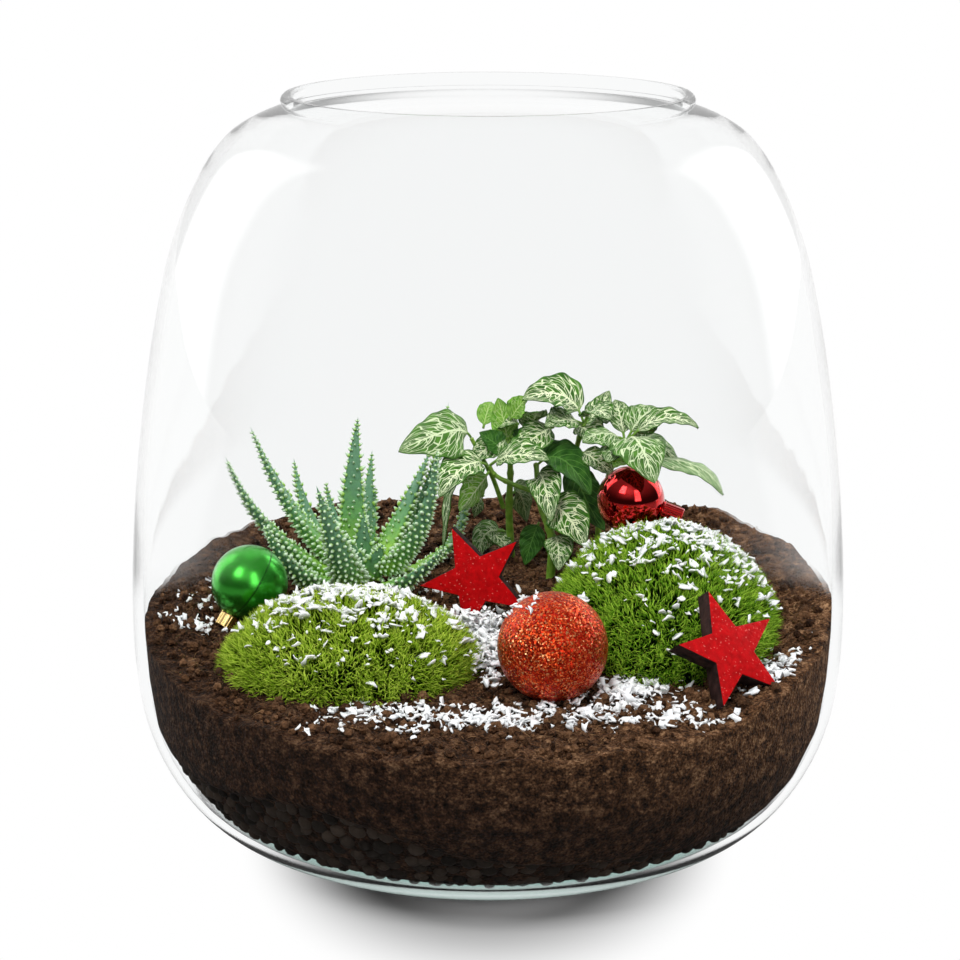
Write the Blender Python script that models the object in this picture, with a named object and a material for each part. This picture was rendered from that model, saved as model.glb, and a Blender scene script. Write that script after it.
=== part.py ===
"""A planted glass terrarium: a rounded clear vessel with a drainage layer, potting soil, a small aloe,
a branching fittonia, two moss cushions, artificial snow, three baubles and two wooden stars.
Metres, +Z up. The origin is on the vessel's axis, in the plane that it stands on."""

import math
from collections import namedtuple

import bmesh
import bpy
from mathutils import Matrix, Vector

MM = 0.001
GAP = 0.3 * MM  # air left between two pieces that touch

# --- the vessel -------------------------------------------------------------------------------------
BODY_RADIUS = 120 * MM
VESSEL_HEIGHT = 246 * MM
VESSEL_SIDES = 40
FOOT_RING = (40 * MM, 52 * MM)
FOOT_RECESS = 1.2 * MM
RIM_RADIUS = 64.8 * MM
BEAD_RADIUS = 2.3 * MM

OUTSIDE = [(52, 0), (80, 2.6), (96.7, 7.4), (109.7, 22), (118, 44), (120, 74), (118, 111),
           (113, 152), (105, 192), (95.6, 216.4), (84.7, 232.4), (71.6, 239.8), (65.5, 241.2)]
INSIDE = [(60, 6.4), (85, 8.4), (104.5, 20.5), (114.2, 44.6), (116.5, 73), (115, 111),
          (109.8, 152.5), (102, 191), (92.5, 214.3), (82.5, 229.6), (69.5, 237.2), (62.6, 240.8)]

# --- the ground -------------------------------------------------------------------------------------
SOIL_LEVEL = 66 * MM
SOIL_RISE = 0.0708  # the soil slopes up towards the back
LEVEL_RADIUS = 95 * MM  # the soil is even inside this radius and ripples outside it
RIPPLE = 1.5 * MM
DRAIN_LEVEL = 24 * MM
DRAIN_FALL = -0.08  # the gravel lies higher on the left

# --- the aloe ---------------------------------------------------------------------------------------
ALOE_PLACE = (-44.7 * MM, 33.2 * MM)
CORE_RADIUS = 11 * MM
CORE_HEIGHT = 12 * MM
AloeLeaf = namedtuple("AloeLeaf", "turn height bend tip width")
# turn (degrees) and height (mm) place the foot on the core; bend, tip and width are mm from the core's centre
ALOE_LEAVES = [
    AloeLeaf(189, 5, (-35, -6, 20), (-45.7, -15, 51.4), 7.5),
    AloeLeaf(176, 9, (-25, -1, 26), (-38, -3, 58.9), 8),
    AloeLeaf(140, 5, (-22, 17, 18), (-25.3, 25, 40.2), 6),
    AloeLeaf(255, 4, (-5.5, -21, 14), (-13.3, -31, 45.2), 10),
    AloeLeaf(219, 3, (-24, -20, 8), (-31.4, -29, 31.5), 9),
    AloeLeaf(112, 4, (-11, 26, 12), (-14.2, 29, 30.2), 5),
    AloeLeaf(180, 11.7, (-4, 1.5, 34), (-0.7, 3, 60.8), 7.5),
    AloeLeaf(90, 9, (1, 17, 20), (2.9, 27, 42.7), 5.5),
    AloeLeaf(38, 9, (15, 13, 24), (24, 25, 43.1), 7),
    AloeLeaf(325, 8, (24, -12, 20), (27.4, -19, 55.1), 8.5),
    AloeLeaf(316, 2, (18, -20, 7), (30.6, -25, 22.1), 7),
    AloeLeaf(68, 4, (24, 26, 17), (30.6, 29, 60.1), 4.5),
    AloeLeaf(12, 3, (44, 22, 6), (34, 33, 41), 5),
]

# --- the fittonia -----------------------------------------------------------------------------------
Shoot = namedtuple("Shoot", "route thick thin")
# route in mm, from the soil or the parent shoot to the crown; thick and thin are radii in mm
SHOOTS = {
    "left": Shoot([(8.6, 54.8, 70.2), (7.6, 53.2, 90), (8, 50, 104), (7.7, 47.5, 113.5)], 1.5, 0.9),
    "left_side": Shoot([(5.7, 52.6, 91), (1.5, 49.5, 104), (-3, 47.5, 113), (-6, 46.5, 119)], 0.9, 0.7),
    "front": Shoot([(22, 33.2, 68.8), (22.4, 32.8, 86), (18.4, 35.6, 98), (17, 43, 111)], 1.7, 0.9),
    "front_side": Shoot([(17, 37.2, 101.5), (8, 40, 104), (2.5, 40.5, 107), (0.5, 40, 110.5)], 0.9, 0.7),
    "back": Shoot([(30.6, 69, 71.4), (29.6, 66, 98), (32.5, 55, 116), (34, 48, 124)], 1.2, 0.8),
    "right": Shoot([(40, 62, 71), (41, 59, 92), (45.5, 47, 112), (48.5, 37, 120)], 1.2, 0.8),
}
Leaf = namedtuple("Leaf", "shoot along bend tip width face")
# along is how far up the shoot it grows; bend, tip and width are mm; face is where its upper side looks
LEAVES = [
    Leaf("left_side", 1, (-9, 45, 126), (-31.3, 32, 117.6), 16, (-0.15, -0.75, 0.65)),
    Leaf("back", 1, (29, 50, 140), (12, 42, 133.8), 14, (0, -0.5, 0.87)),
    Leaf("left", 1, (6, 50, 124), (3.5, 53, 132), 7, (0, -0.95, 0.3)),
    Leaf("left", 0.97, (3, 45, 117), (-3, 44.5, 121.5), 7, (0.5, -0.7, 0.5)),
    Leaf("left", 0.97, (12, 46, 117), (14.5, 47.5, 123.5), 7, (-0.5, -0.7, 0.5)),
    Leaf("front_side", 1, (8, 36, 118.5), (21.2, 28, 115.5), 12, (0.1, -0.45, 0.88)),
    Leaf("front_side", 0.95, (-8, 35, 117), (-17, 25, 103), 12, (-0.35, -0.6, 0.7)),
    Leaf("left_side", 0.7, (-14, 40, 112), (-15.7, 32, 81.5), 7, (-0.9, -0.3, 0.3)),
    Leaf("front_side", 0.85, (-3, 37, 105), (-10, 30.5, 96.5), 11, (0.3, 0.7, 0.65)),
    Leaf("front", 0.86, (19.5, 33, 112), (22, 25.5, 94), 9.5, (0, -0.95, 0.3)),
    Leaf("front", 0.62, (27, 33, 100), (33.8, 24, 85.5), 13, (0.1, -0.8, 0.6)),
    Leaf("back", 0.55, (31, 52, 99), (41.5, 40, 86.5), 10, (0.2, -0.8, 0.5)),
    Leaf("front", 0.38, (25.5, 28.5, 87), (24.6, 24.5, 76.5), 8, (0.2, -0.85, 0.5)),
    Leaf("left", 0.45, (12, 56, 100), (14.1, 60, 84), 8, (0.3, -0.9, 0.2)),
    Leaf("left", 0.2, (-3, 58, 84), (-3, 52, 73), 8, (-0.2, -0.8, 0.5)),
    Leaf("front", 0.95, (26, 40, 120), (36, 31, 102), 12, (0.4, -0.6, 0.7)),
    Leaf("right", 1, (40, 31, 127), (32.7, 26, 122.5), 9, (-0.1, -0.5, 0.87)),
    Leaf("back", 0.96, (27, 42, 128.5), (20, 38.5, 125), 9, (0, -0.45, 0.9)),
    Leaf("back", 0.97, (37, 43, 134), (42.8, 36, 128), 10, (0.2, -0.5, 0.85)),
    Leaf("back", 0.95, (39.5, 55, 126), (43.6, 62, 132.5), 6.5, (-0.2, -0.8, 0.5)),
    Leaf("right", 0.97, (54, 42, 130), (60.5, 47, 129.5), 10, (0, -0.7, 0.7)),
    Leaf("right", 1, (61, 38, 134), (73.5, 34, 125.7), 8.5, (0.1, -0.3, 0.95)),
    Leaf("right", 0.93, (47, 46, 128), (45, 50, 132), 6.5, (0.1, -0.9, 0.4)),
    Leaf("right", 1, (51, 21, 130), (57, 10.5, 112), 15, (0.1, -0.6, 0.8)),
    Leaf("right", 0.99, (45, 27, 123), (41, 21, 116.5), 9, (-0.3, -0.6, 0.7)),
    Leaf("right", 0.85, (58, 48, 121), (69, 47, 108.5), 8.5, (0.5, -0.6, 0.5)),
    Leaf("right", 0.6, (76, 34, 118.5), (82.3, 30, 102.4), 6.5, (0, -0.25, 0.97)),
]
LEAF_THICKNESS = 0.55 * MM
PETIOLE_RADIUS = 0.5 * MM
PETIOLE_SHARE = 0.16  # the share of a leaf's length that is its bare stalk

# --- moss, snow and ornaments -----------------------------------------------------------------------
Cushion = namedtuple("Cushion", "place reach rise lumps")
MOSSES = {
    "moss_left": Cushion((-46, -43), (42.5, 32), 23, 0.06),
    "moss_right": Cushion((59.5, -12), (38.5, 50), 32, 0.05),
}
SNOW_ROUTE = [(-42, -84), (-10, -93), (25, -95), (52, -84)]
SNOW_WIDTH = 9 * MM
SNOW_DEPTH = 1.2 * MM

Bauble = namedtuple("Bauble", "centre radius cap cap_radius cap_length")
BAUBLES = {
    "glitter_ball": Bauble((20.4, -64.7, 79.2), 17.5, None, 0, 0),
    "satin_ball": Bauble((-80.9, -3, 80.7), 13, (-0.5, -0.42, -0.76), 3.2, 4),
    "mirror_ball": Bauble((49.7, 26, 101.9), 11.85, (0.93, -0.2, -0.3), 3.6, 6.5),
}
Star = namedtuple("Star", "centre size facing roll")
STAR_INNER = 0.412  # inner corners' radius as a share of the tips'
STAR_THICKNESS = 6.4 * MM
STARS = {
    "star_left": Star((-4.2, -14.2, 85.4), 19.3, (-0.166, -0.968, 0.188), 27),
    "star_right": Star((77.2, -64.2, 78.1), 20.4, (0.469, -0.671, 0.575), 2),
}


# --- shapes -----------------------------------------------------------------------------------------
def mm(point):
    """A point given in millimetres."""
    return Vector(point) * MM


def blend(points, share):
    """The point at a share (0 to 1) along a smooth curve that passes through every given point."""
    spans = len(points) - 1
    place = min(share * spans, spans - 1e-9)
    first = int(place)
    local = place - first
    near = [Vector(points[max(0, min(spans, first + step))]) for step in (-1, 0, 1, 2)]
    before, start, end, after = near
    slope_in = (end - before) / 2
    slope_out = (after - start) / 2
    square, cube = local**2, local**3
    return (start * (2 * cube - 3 * square + 1) + slope_in * (cube - 2 * square + local)
            + end * (3 * square - 2 * cube) + slope_out * (cube - square))


def bow(foot, bend, tip, share):
    """The point at a share along a curve that leaves the foot towards the bend and ends at the tip."""
    rest = 1 - share
    return foot * rest**2 + bend * (2 * rest * share) + tip * share**2


def smooth_profile(points, steps):
    """A smooth curve through (radius, height) points in mm, as points in metres."""
    return [tuple(blend(points, step / steps) * MM) for step in range(steps + 1)]


def soil_top(x, y):
    """Height of the firm soil, even under the plants and rippled near the glass."""
    radius = math.hypot(x, y)
    edge = min(1, max(0, (radius - LEVEL_RADIUS) / (15 * MM)))
    wave = math.sin(5 * math.atan2(y, x) + 1) + 0.6 * math.sin(11 * math.atan2(y, x))
    return SOIL_LEVEL + SOIL_RISE * y + RIPPLE * (wave - 0.8) * edge**2


def drain_top(x, y):
    return DRAIN_LEVEL + DRAIN_FALL * x


# --- building ---------------------------------------------------------------------------------------
def material(name, colour, roughness, metallic=0.0, transmission=0.0):
    made = bpy.data.materials.get(name)
    if made:
        return made
    made = bpy.data.materials.new(name)
    made.use_nodes = True
    shader = made.node_tree.nodes["Principled BSDF"]
    shader.inputs["Base Color"].default_value = (*colour, 1)
    shader.inputs["Roughness"].default_value = roughness
    shader.inputs["Metallic"].default_value = metallic
    shader.inputs["Transmission Weight"].default_value = transmission
    return made


def add_object(name, bm, finish, smooth=True):
    """A mesh object made from bm, with its faces pointing out."""
    bmesh.ops.recalc_face_normals(bm, faces=bm.faces)
    if bm.calc_volume(signed=True) < 0:
        bmesh.ops.reverse_faces(bm, faces=bm.faces)
    mesh = bpy.data.meshes.new(name)
    bm.to_mesh(mesh)
    bm.free()
    if smooth:
        mesh.shade_smooth()
    made = bpy.data.objects.new(name, mesh)
    bpy.context.scene.collection.objects.link(made)
    mesh.materials.append(finish)
    return made


def grown(name, around, along, place, finish):
    """A closed body grown from a ball: its poles become the ends and its parallels the cross-sections.
    place(share, angle) says where a point at that share from pole to pole and that angle goes."""
    bm = bmesh.new()
    bmesh.ops.create_uvsphere(bm, u_segments=around, v_segments=along, radius=1)
    for vertex in bm.verts:
        share = math.acos(max(-1, min(1, vertex.co.z))) / math.pi
        vertex.co = place(share, math.atan2(vertex.co.y, vertex.co.x))
    return add_object(name, bm, finish)


def section_frame(curve, share, face):
    """A curve's point, sideways direction and upper direction at a share of its length."""
    here = curve(share)
    step = 0.02
    ahead = (curve(min(1, share + step)) - curve(max(0, share - step))).normalized()
    sideways = ahead.cross(face).normalized()
    return here, sideways, sideways.cross(ahead)


def blade(name, around, along, curve, face, half_width, above, below, finish):
    """A leaf-like body along a curve: half_width, above and below give its section at each share."""
    def place(share, angle):
        here, sideways, upwards = section_frame(curve, share, face)
        lift = above(share) if math.sin(angle) > 0 else below(share)
        return here + sideways * math.cos(angle) * half_width(share) + upwards * math.sin(angle) * lift
    return grown(name, around, along, place, finish)


# --- the vessel -------------------------------------------------------------------------------------
def glass_vessel():
    """One wall of glass, turned about the vessel's axis: recessed foot, rounded body, beaded rim."""
    outside = smooth_profile(OUTSIDE, 24)
    inside = smooth_profile(INSIDE, 20)
    bead_height = VESSEL_HEIGHT - BEAD_RADIUS
    bead = [(RIM_RADIUS + BEAD_RADIUS * math.cos(turn), bead_height + BEAD_RADIUS * math.sin(turn))
            for turn in (math.radians(-35 + 50 * step) for step in range(6))]
    profile = [(0, FOOT_RECESS), (FOOT_RING[0] - MM, FOOT_RECESS), (FOOT_RING[0], 0)]
    profile += outside + bead + inside[::-1] + [(0, inside[0][1])]
    bm = bmesh.new()
    points = [bm.verts.new((radius, 0, height)) for radius, height in profile]
    edges = [bm.edges.new(pair) for pair in zip(points, points[1:])]
    bmesh.ops.spin(bm, geom=points + edges, axis=(0, 0, 1), cent=(0, 0, 0),
                   angle=math.tau, steps=VESSEL_SIDES, use_merge=True)
    bmesh.ops.remove_doubles(bm, verts=bm.verts, dist=0.01 * MM)
    return add_object("glass_vessel", bm, material("clear_glass", (0.9, 0.97, 0.95), 0.02, 0, 1))


def cavity_profile():
    """The inner wall as (radius, height) points, drawn in by the gap, from the axis up to the shoulder."""
    wall = [(0, INSIDE[0][1] * MM)] + smooth_profile(INSIDE, 20)[:13]
    drawn_in = []
    for index, (radius, height) in enumerate(wall):
        before = wall[max(0, index - 1)]
        after = wall[min(len(wall) - 1, index + 1)]
        run, rise = after[0] - before[0], after[1] - before[1]
        length = math.hypot(run, rise)
        drawn_in.append((max(0, radius - GAP * rise / length), height + GAP * run / length))
    return drawn_in


def along_profile(profile, share):
    """The (radius, height) at a share of the profile's point count."""
    place = share * (len(profile) - 1)
    first = min(int(place), len(profile) - 2)
    local = place - first
    start, end = profile[first], profile[first + 1]
    return tuple(low + (high - low) * local for low, high in zip(start, end))


def meeting_share(profile, angle, surface):
    """Where along the profile, at that angle round the axis, a surface meets the wall."""
    low, high = 0.0, 1.0
    for _ in range(40):
        middle = (low + high) / 2
        radius, height = along_profile(profile, middle)
        if height < surface(radius * math.cos(angle), radius * math.sin(angle)):
            low = middle
        else:
            high = middle
    return low


def fill_layer(name, top, bottom, finish, top_rings, wall_rings):
    """A layer that fills the vessel from wall to wall, between two surfaces or down to the glass."""
    profile = cavity_profile()
    inner_shares = [0.25, 0.5, 0.72, 0.8, 0.9, 1] if top_rings == 6 else [0.4, 0.75, 1]
    columns = []
    for side in range(VESSEL_SIDES):
        angle = math.tau * side / VESSEL_SIDES
        out = Vector((math.cos(angle), math.sin(angle), 0))
        high = meeting_share(profile, angle, top)
        low = meeting_share(profile, angle, bottom) if bottom else 0.02
        edge_radius, edge_height = along_profile(profile, high)
        column = []
        for share in inner_shares[:-1]:
            spot = out * edge_radius * share
            column.append(Vector((spot.x, spot.y, top(spot.x, spot.y))))
        for ring in range(wall_rings + 1):
            radius, height = along_profile(profile, high + (low - high) * ring / wall_rings)
            column.append(Vector((out.x * radius, out.y * radius, height)))
        if bottom:
            base_radius = along_profile(profile, low)[0]
            for share in (0.66, 0.33):
                spot = out * base_radius * share
                column.append(Vector((spot.x, spot.y, bottom(spot.x, spot.y))))
        columns.append(column)
    bm = bmesh.new()
    floor = bottom(0, 0) if bottom else profile[0][1]
    crown = bm.verts.new((0, 0, top(0, 0)))
    root = bm.verts.new((0, 0, floor))
    grid = [[bm.verts.new(point) for point in column] for column in columns]
    for left, right in zip(grid, grid[1:] + grid[:1]):
        bm.faces.new((crown, left[0], right[0]))
        for index in range(len(left) - 1):
            bm.faces.new((left[index], left[index + 1], right[index + 1], right[index]))
        bm.faces.new((left[-1], root, right[-1]))
    return add_object(name, bm, finish)


def ground():
    """The drainage gravel with the potting soil above it."""
    fill_layer("drainage_gravel", drain_top, None, material("gravel", (0.03, 0.025, 0.022), 0.8), 3, 6)
    fill_layer("potting_soil", soil_top, lambda x, y: drain_top(x, y) + GAP,
               material("soil", (0.06, 0.035, 0.022), 0.95), 6, 7)


# --- plants -----------------------------------------------------------------------------------------
def aloe():
    """The rosette: a short stem core on the soil, with the leaves growing round it."""
    x, y = ALOE_PLACE
    centre = Vector((x, y, soil_top(x, y)))
    green = material("aloe_leaf", (0.2, 0.4, 0.28), 0.5)

    def core_place(share, angle):
        low = share > 0.7
        radius = CORE_RADIUS * (math.sin(math.pi / 2 * share / 0.7) if not low else (1 - share) / 0.3)
        lift = 0 if low else CORE_HEIGHT * math.cos(math.pi / 2 * share / 0.7)
        spot = Vector((radius * math.cos(angle), radius * math.sin(angle), 0)) + centre
        spot.z = soil_top(spot.x, spot.y) + GAP + lift
        return spot
    grown("aloe_core", 12, 8, core_place, green)

    for number, leaf in enumerate(ALOE_LEAVES, start=1):
        turn = math.radians(leaf.turn)
        height = leaf.height * MM
        reach = CORE_RADIUS * math.sqrt(1 - (height / CORE_HEIGHT)**2) + GAP
        foot = centre + Vector((reach * math.cos(turn), reach * math.sin(turn), height + 2 * GAP))
        bend, tip = centre + mm(leaf.bend), centre + mm(leaf.tip)
        inward = Vector((-math.cos(turn), -math.sin(turn), 0.9)) if leaf.height < 11 else Vector((0, -1, 0.2))
        half = leaf.width * MM / 2

        def taper(share, half=half):
            return half * min(1, share / 0.16)**0.7 * (1 - share**1.7) if 0 < share < 1 else 0

        blade(f"aloe_leaf_{number:02}", 8, 9,
              lambda share, a=foot, b=bend, c=tip: bow(a, b, c, share), inward.normalized(),
              taper, lambda share, t=taper: t(share) * 0.25, lambda share, t=taper: t(share) * 0.6, green)


def shoot_curve(shoot):
    route = [mm(point) for point in shoot.route]
    return lambda share: blend(route, share)


def shoot_radius(shoot, share):
    swell = min(1, share / 0.04, (1 - share) / 0.04)
    return (shoot.thick + (shoot.thin - shoot.thick) * share) * MM * max(0, swell)**0.5


def fittonia():
    """The shoots that rise from the soil, and a leaf for each entry of LEAVES."""
    stem_green = material("fittonia_stem", (0.25, 0.45, 0.1), 0.5)
    leaf_green = material("fittonia_leaf", (0.13, 0.3, 0.1), 0.45)
    for name, shoot in SHOOTS.items():
        def radius(share, shoot=shoot):
            return shoot_radius(shoot, share)
        blade(f"fittonia_shoot_{name}", 8, 10, shoot_curve(shoot), Vector((0, -1, 0)),
              radius, radius, radius, stem_green)
    for number, leaf in enumerate(LEAVES, start=1):
        shoot = SHOOTS[leaf.shoot]
        node = shoot_curve(shoot)(leaf.along)
        bend, tip = mm(leaf.bend), mm(leaf.tip)
        clear = shoot_radius(shoot, min(leaf.along, 0.93)) + GAP if leaf.along < 1 else GAP
        foot = node + (bend - node).normalized() * clear
        half = leaf.width * MM / 2

        def width(share, half=half):
            if share <= PETIOLE_SHARE:
                return PETIOLE_RADIUS * min(1, share / 0.05)**0.5
            run = (share - PETIOLE_SHARE) / (1 - PETIOLE_SHARE)
            return PETIOLE_RADIUS * (1 - run) + half * math.sin(math.pi * run**0.72)**0.85

        def thickness(share):
            swell = min(1, share / 0.08, (1 - share) / 0.1)
            return LEAF_THICKNESS / 2 * max(0, swell)**0.5

        def keel(share, thin=thickness):
            return thin(share) * 1.5

        blade(f"fittonia_leaf_{number:02}", 6, 9,
              lambda share, a=foot, b=bend, c=tip: bow(a, b, c, share), Vector(leaf.face).normalized(),
              width, thickness, keel, leaf_green)


def moss():
    """Two low cushions of moss that sit on the soil."""
    finish = material("moss", (0.25, 0.4, 0.06), 0.9)
    for name, cushion in MOSSES.items():
        x, y = cushion.place

        def place(share, angle, cushion=cushion, x=x, y=y):
            under = share > 0.72
            reach = math.sin(math.pi / 2 * share / 0.72) if not under else (1 - share) / 0.28
            lift = 0 if under else cushion.rise * MM * math.sqrt(max(0, 1 - reach**2))
            uneven = 1 - cushion.lumps * (0.5 + 0.5 * math.sin(5 * angle + x))
            spot = mm((x + cushion.reach[0] * reach * uneven * math.cos(angle),
                       y + cushion.reach[1] * reach * uneven * math.sin(angle), 0))
            spot.z = soil_top(spot.x, spot.y) + GAP + lift
            return spot
        grown(name, 24, 12, place, finish)


def snow():
    """The drift of artificial snow that lies in front of the ornaments."""
    route = [mm((x, y, 0)) for x, y in SNOW_ROUTE]

    def width(share):
        return SNOW_WIDTH / 2 * math.sin(math.pi * share)**0.5 if 0 < share < 1 else 0

    def place(share, angle):
        here, sideways, _ = section_frame(lambda s: blend(route, s), share, Vector((0, 0, 1)))
        spot = here + sideways * math.cos(angle) * width(share)
        depth = SNOW_DEPTH * max(0, math.sin(angle)) * math.sin(math.pi * share)
        spot.z = soil_top(spot.x, spot.y) + GAP + depth
        return spot
    grown("snow_drift", 8, 14, place, material("snow", (0.9, 0.92, 0.95), 0.7))


# --- ornaments --------------------------------------------------------------------------------------
def baubles():
    finishes = {
        "glitter_ball": material("red_glitter", (0.6, 0.05, 0.02), 0.3, 0.6),
        "satin_ball": material("green_satin", (0.03, 0.35, 0.06), 0.3, 0.8),
        "mirror_ball": material("red_mirror", (0.7, 0.02, 0.02), 0.05, 1),
    }
    cap_finishes = {"satin_ball": material("gold_cap", (0.8, 0.6, 0.25), 0.25, 1),
                    "mirror_ball": finishes["mirror_ball"]}
    for name, bauble in BAUBLES.items():
        bm = bmesh.new()
        bmesh.ops.create_uvsphere(bm, u_segments=20, v_segments=12, radius=bauble.radius * MM)
        ball = add_object(name, bm, finishes[name])
        ball.location = mm(bauble.centre)
        if not bauble.cap:
            continue
        axis = Vector(bauble.cap).normalized()
        bm = bmesh.new()
        bmesh.ops.create_cone(bm, cap_ends=True, segments=14, radius1=bauble.cap_radius * MM,
                              radius2=bauble.cap_radius * 0.92 * MM, depth=bauble.cap_length * MM)
        cap = add_object(name.replace("ball", "cap"), bm, cap_finishes[name], smooth=False)
        reach = bauble.radius * MM + GAP + bauble.cap_length * MM / 2
        cap.location = mm(bauble.centre) + axis * reach
        cap.rotation_euler = axis.to_track_quat("Z", "Y").to_euler()


def stars():
    """Flat five-pointed stars, sawn from board, standing on two tips."""
    finish = material("red_star", (0.55, 0.01, 0.02), 0.5)
    for name, star in STARS.items():
        bm = bmesh.new()
        outline = []
        for corner in range(10):
            turn = math.radians(90 + 36 * corner)
            radius = star.size * MM * (STAR_INNER if corner % 2 else 1)
            outline.append(bm.verts.new((radius * math.cos(turn), radius * math.sin(turn), 0)))
        front = bm.faces.new(outline)
        swept = bmesh.ops.extrude_face_region(bm, geom=[front])
        moved = [item for item in swept["geom"] if isinstance(item, bmesh.types.BMVert)]
        bmesh.ops.translate(bm, verts=moved, vec=(0, 0, -STAR_THICKNESS))
        made = add_object(name, bm, finish, smooth=False)
        facing = Vector(star.facing).normalized()
        across = Vector((0, 0, 1)).cross(facing).normalized()
        upwards = facing.cross(across)
        stand = Matrix((across, upwards, facing)).transposed().to_4x4()
        made.matrix_world = (Matrix.Translation(mm(star.centre)) @ stand
                             @ Matrix.Rotation(math.radians(star.roll), 4, "Z"))


for old in list(bpy.data.objects):
    bpy.data.objects.remove(old)
glass_vessel()
ground()
aloe()
fittonia()
moss()
snow()
baubles()
stars()
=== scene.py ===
# %% [markdown]
# # A planted glass terrarium
# This lesson builds the looks of a rounded glass vessel with an aloe, a fittonia, moss and ornaments.
# The solid frame is loaded first. It says where every leaf, ball and layer is, and each finished piece
# is made round the solid that it stands for, so nothing has to be fitted by eye afterwards.

# %% Load the frame
import math

import bpy
import numpy as np
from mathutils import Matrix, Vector


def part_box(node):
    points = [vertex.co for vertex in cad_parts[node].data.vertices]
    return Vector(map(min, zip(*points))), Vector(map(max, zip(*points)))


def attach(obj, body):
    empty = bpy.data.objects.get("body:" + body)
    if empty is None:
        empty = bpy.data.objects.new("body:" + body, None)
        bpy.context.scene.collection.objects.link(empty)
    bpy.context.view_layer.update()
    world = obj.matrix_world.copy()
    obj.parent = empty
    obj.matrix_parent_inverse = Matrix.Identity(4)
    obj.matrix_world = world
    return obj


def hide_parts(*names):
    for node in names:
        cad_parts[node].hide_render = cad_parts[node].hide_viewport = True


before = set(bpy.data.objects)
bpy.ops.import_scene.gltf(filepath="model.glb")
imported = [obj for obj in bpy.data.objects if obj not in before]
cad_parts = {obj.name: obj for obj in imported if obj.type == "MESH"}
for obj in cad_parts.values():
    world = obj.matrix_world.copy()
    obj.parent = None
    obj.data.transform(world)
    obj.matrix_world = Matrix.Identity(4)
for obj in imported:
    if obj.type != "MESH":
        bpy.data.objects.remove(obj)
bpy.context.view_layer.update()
MM = 0.001
rng = np.random.default_rng(24)

# %% [markdown]
# ## Reading solids
# A frame node is a heap of loose triangles. To read its shape we merge a copy, so that corners are
# shared. The node itself must stay untouched, which is why the copy is made as plain arrays.


# %% Merge a copy of a node
def solid(node):
    """A node's shared corners and triangles, as arrays."""
    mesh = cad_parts[node].data
    mesh.calc_loop_triangles()
    corners = np.empty(len(mesh.vertices) * 3)
    mesh.vertices.foreach_get("co", corners)
    corners = corners.reshape(-1, 3)
    triangles = np.empty(len(mesh.loop_triangles) * 3, dtype=int)
    mesh.loop_triangles.foreach_get("vertices", triangles)
    shared, which = np.unique(np.round(corners, 6), axis=0, return_inverse=True)
    return shared, which.reshape(-1)[triangles].reshape(-1, 3)


def named(start):
    return sorted(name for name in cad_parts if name.startswith(start))


print("leaves:", len(named("aloe_leaf")), "aloe,", len(named("fittonia_leaf")), "fittonia")

# %% [markdown]
# ## Rings along a leaf
# Each leaf and stem solid is a skin over rings of corners, with one point at each end. Walking out from
# an end, step by step along the edges, meets the rings one after another. Their centres give the leaf's
# line and their longest direction gives its width, so a fine leaf can follow a coarse one exactly.


# %% Find the rings
def neighbours(corners, triangles):
    near = [set() for _ in corners]
    for a, b, c in triangles:
        near[a] |= {b, c}
        near[b] |= {a, c}
        near[c] |= {a, b}
    return near


def rings(node, foot_near):
    """Rings of corners from the foot to the tip; the foot is the end nearer to foot_near."""
    corners, triangles = solid(node)
    near = neighbours(corners, triangles)
    found = []
    for start in range(len(corners)):
        seen, front, layers = {start}, {start}, [[start]]
        while front:
            front = set().union(*(near[index] for index in front)) - seen
            seen |= front
            if front:
                layers.append(sorted(front))
        sizes = [len(layer) for layer in layers]
        if sizes[-1] == 1 and len(set(sizes[1:-1])) == 1 and sizes[1] >= 5:
            found.append([corners[layer] for layer in layers])
    found.sort(key=lambda layers: np.linalg.norm(layers[0][0] - foot_near))
    return found[0]


def unit(vector):
    return vector / np.maximum(np.linalg.norm(vector, axis=-1, keepdims=True), 1e-12)


def leaf_line(node, foot_near):
    """A leaf's stations: centre, half width, sideways and upper direction at each ring."""
    layers = rings(node, foot_near)
    centres = np.array([layer.mean(axis=0) for layer in layers])
    along = unit(np.gradient(centres, axis=0))
    halves, sideways, upper = [], [], []
    for layer, centre, ahead in zip(layers, centres, along):
        if len(layer) == 1:
            halves.append(0.0)
            sideways.append(None)
            upper.append(None)
            continue
        spread = layer - centre
        _, _, axes = np.linalg.svd(spread, full_matrices=False)
        across = axes[0]
        if sideways[-1] is not None and across @ sideways[-1] < 0:
            across = -across
        halves.append(np.ptp(spread @ across) / 2)
        sideways.append(across)
        upper.append(unit(np.cross(across, ahead)))
    for found in (sideways, upper):
        found[0], found[-1] = found[1], found[-2]
    middle = len(layers) // 2
    lift = (layers[middle] - (layers[middle][np.argmax((layers[middle] - centres[middle])
            @ sideways[middle])] + layers[middle][np.argmin((layers[middle] - centres[middle])
            @ sideways[middle])]) / 2) @ upper[middle]
    turned = 1 if lift.max() < -lift.min() else -1
    return centres, np.array(halves), np.array(sideways) * turned, np.array(upper) * turned


def resample(values, count):
    """Values along a smooth curve through the given ones."""
    values = np.asarray(values, float)
    flat = values.reshape(len(values), -1)
    padded = np.vstack([2 * flat[0] - flat[1], flat, 2 * flat[-1] - flat[-2]])
    place = np.linspace(0, len(values) - 1 - 1e-9, count)
    first = place.astype(int)
    local = (place - first)[:, None]
    before, start, end, after = (padded[first + step] for step in range(4))
    smooth = (start + (end - before) / 2 * local + (before - 2.5 * start + 2 * end - after / 2) * local**2
              + (1.5 * (start - end) + (after - before) / 2) * local**3)
    return smooth.reshape(count, *values.shape[1:])


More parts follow.
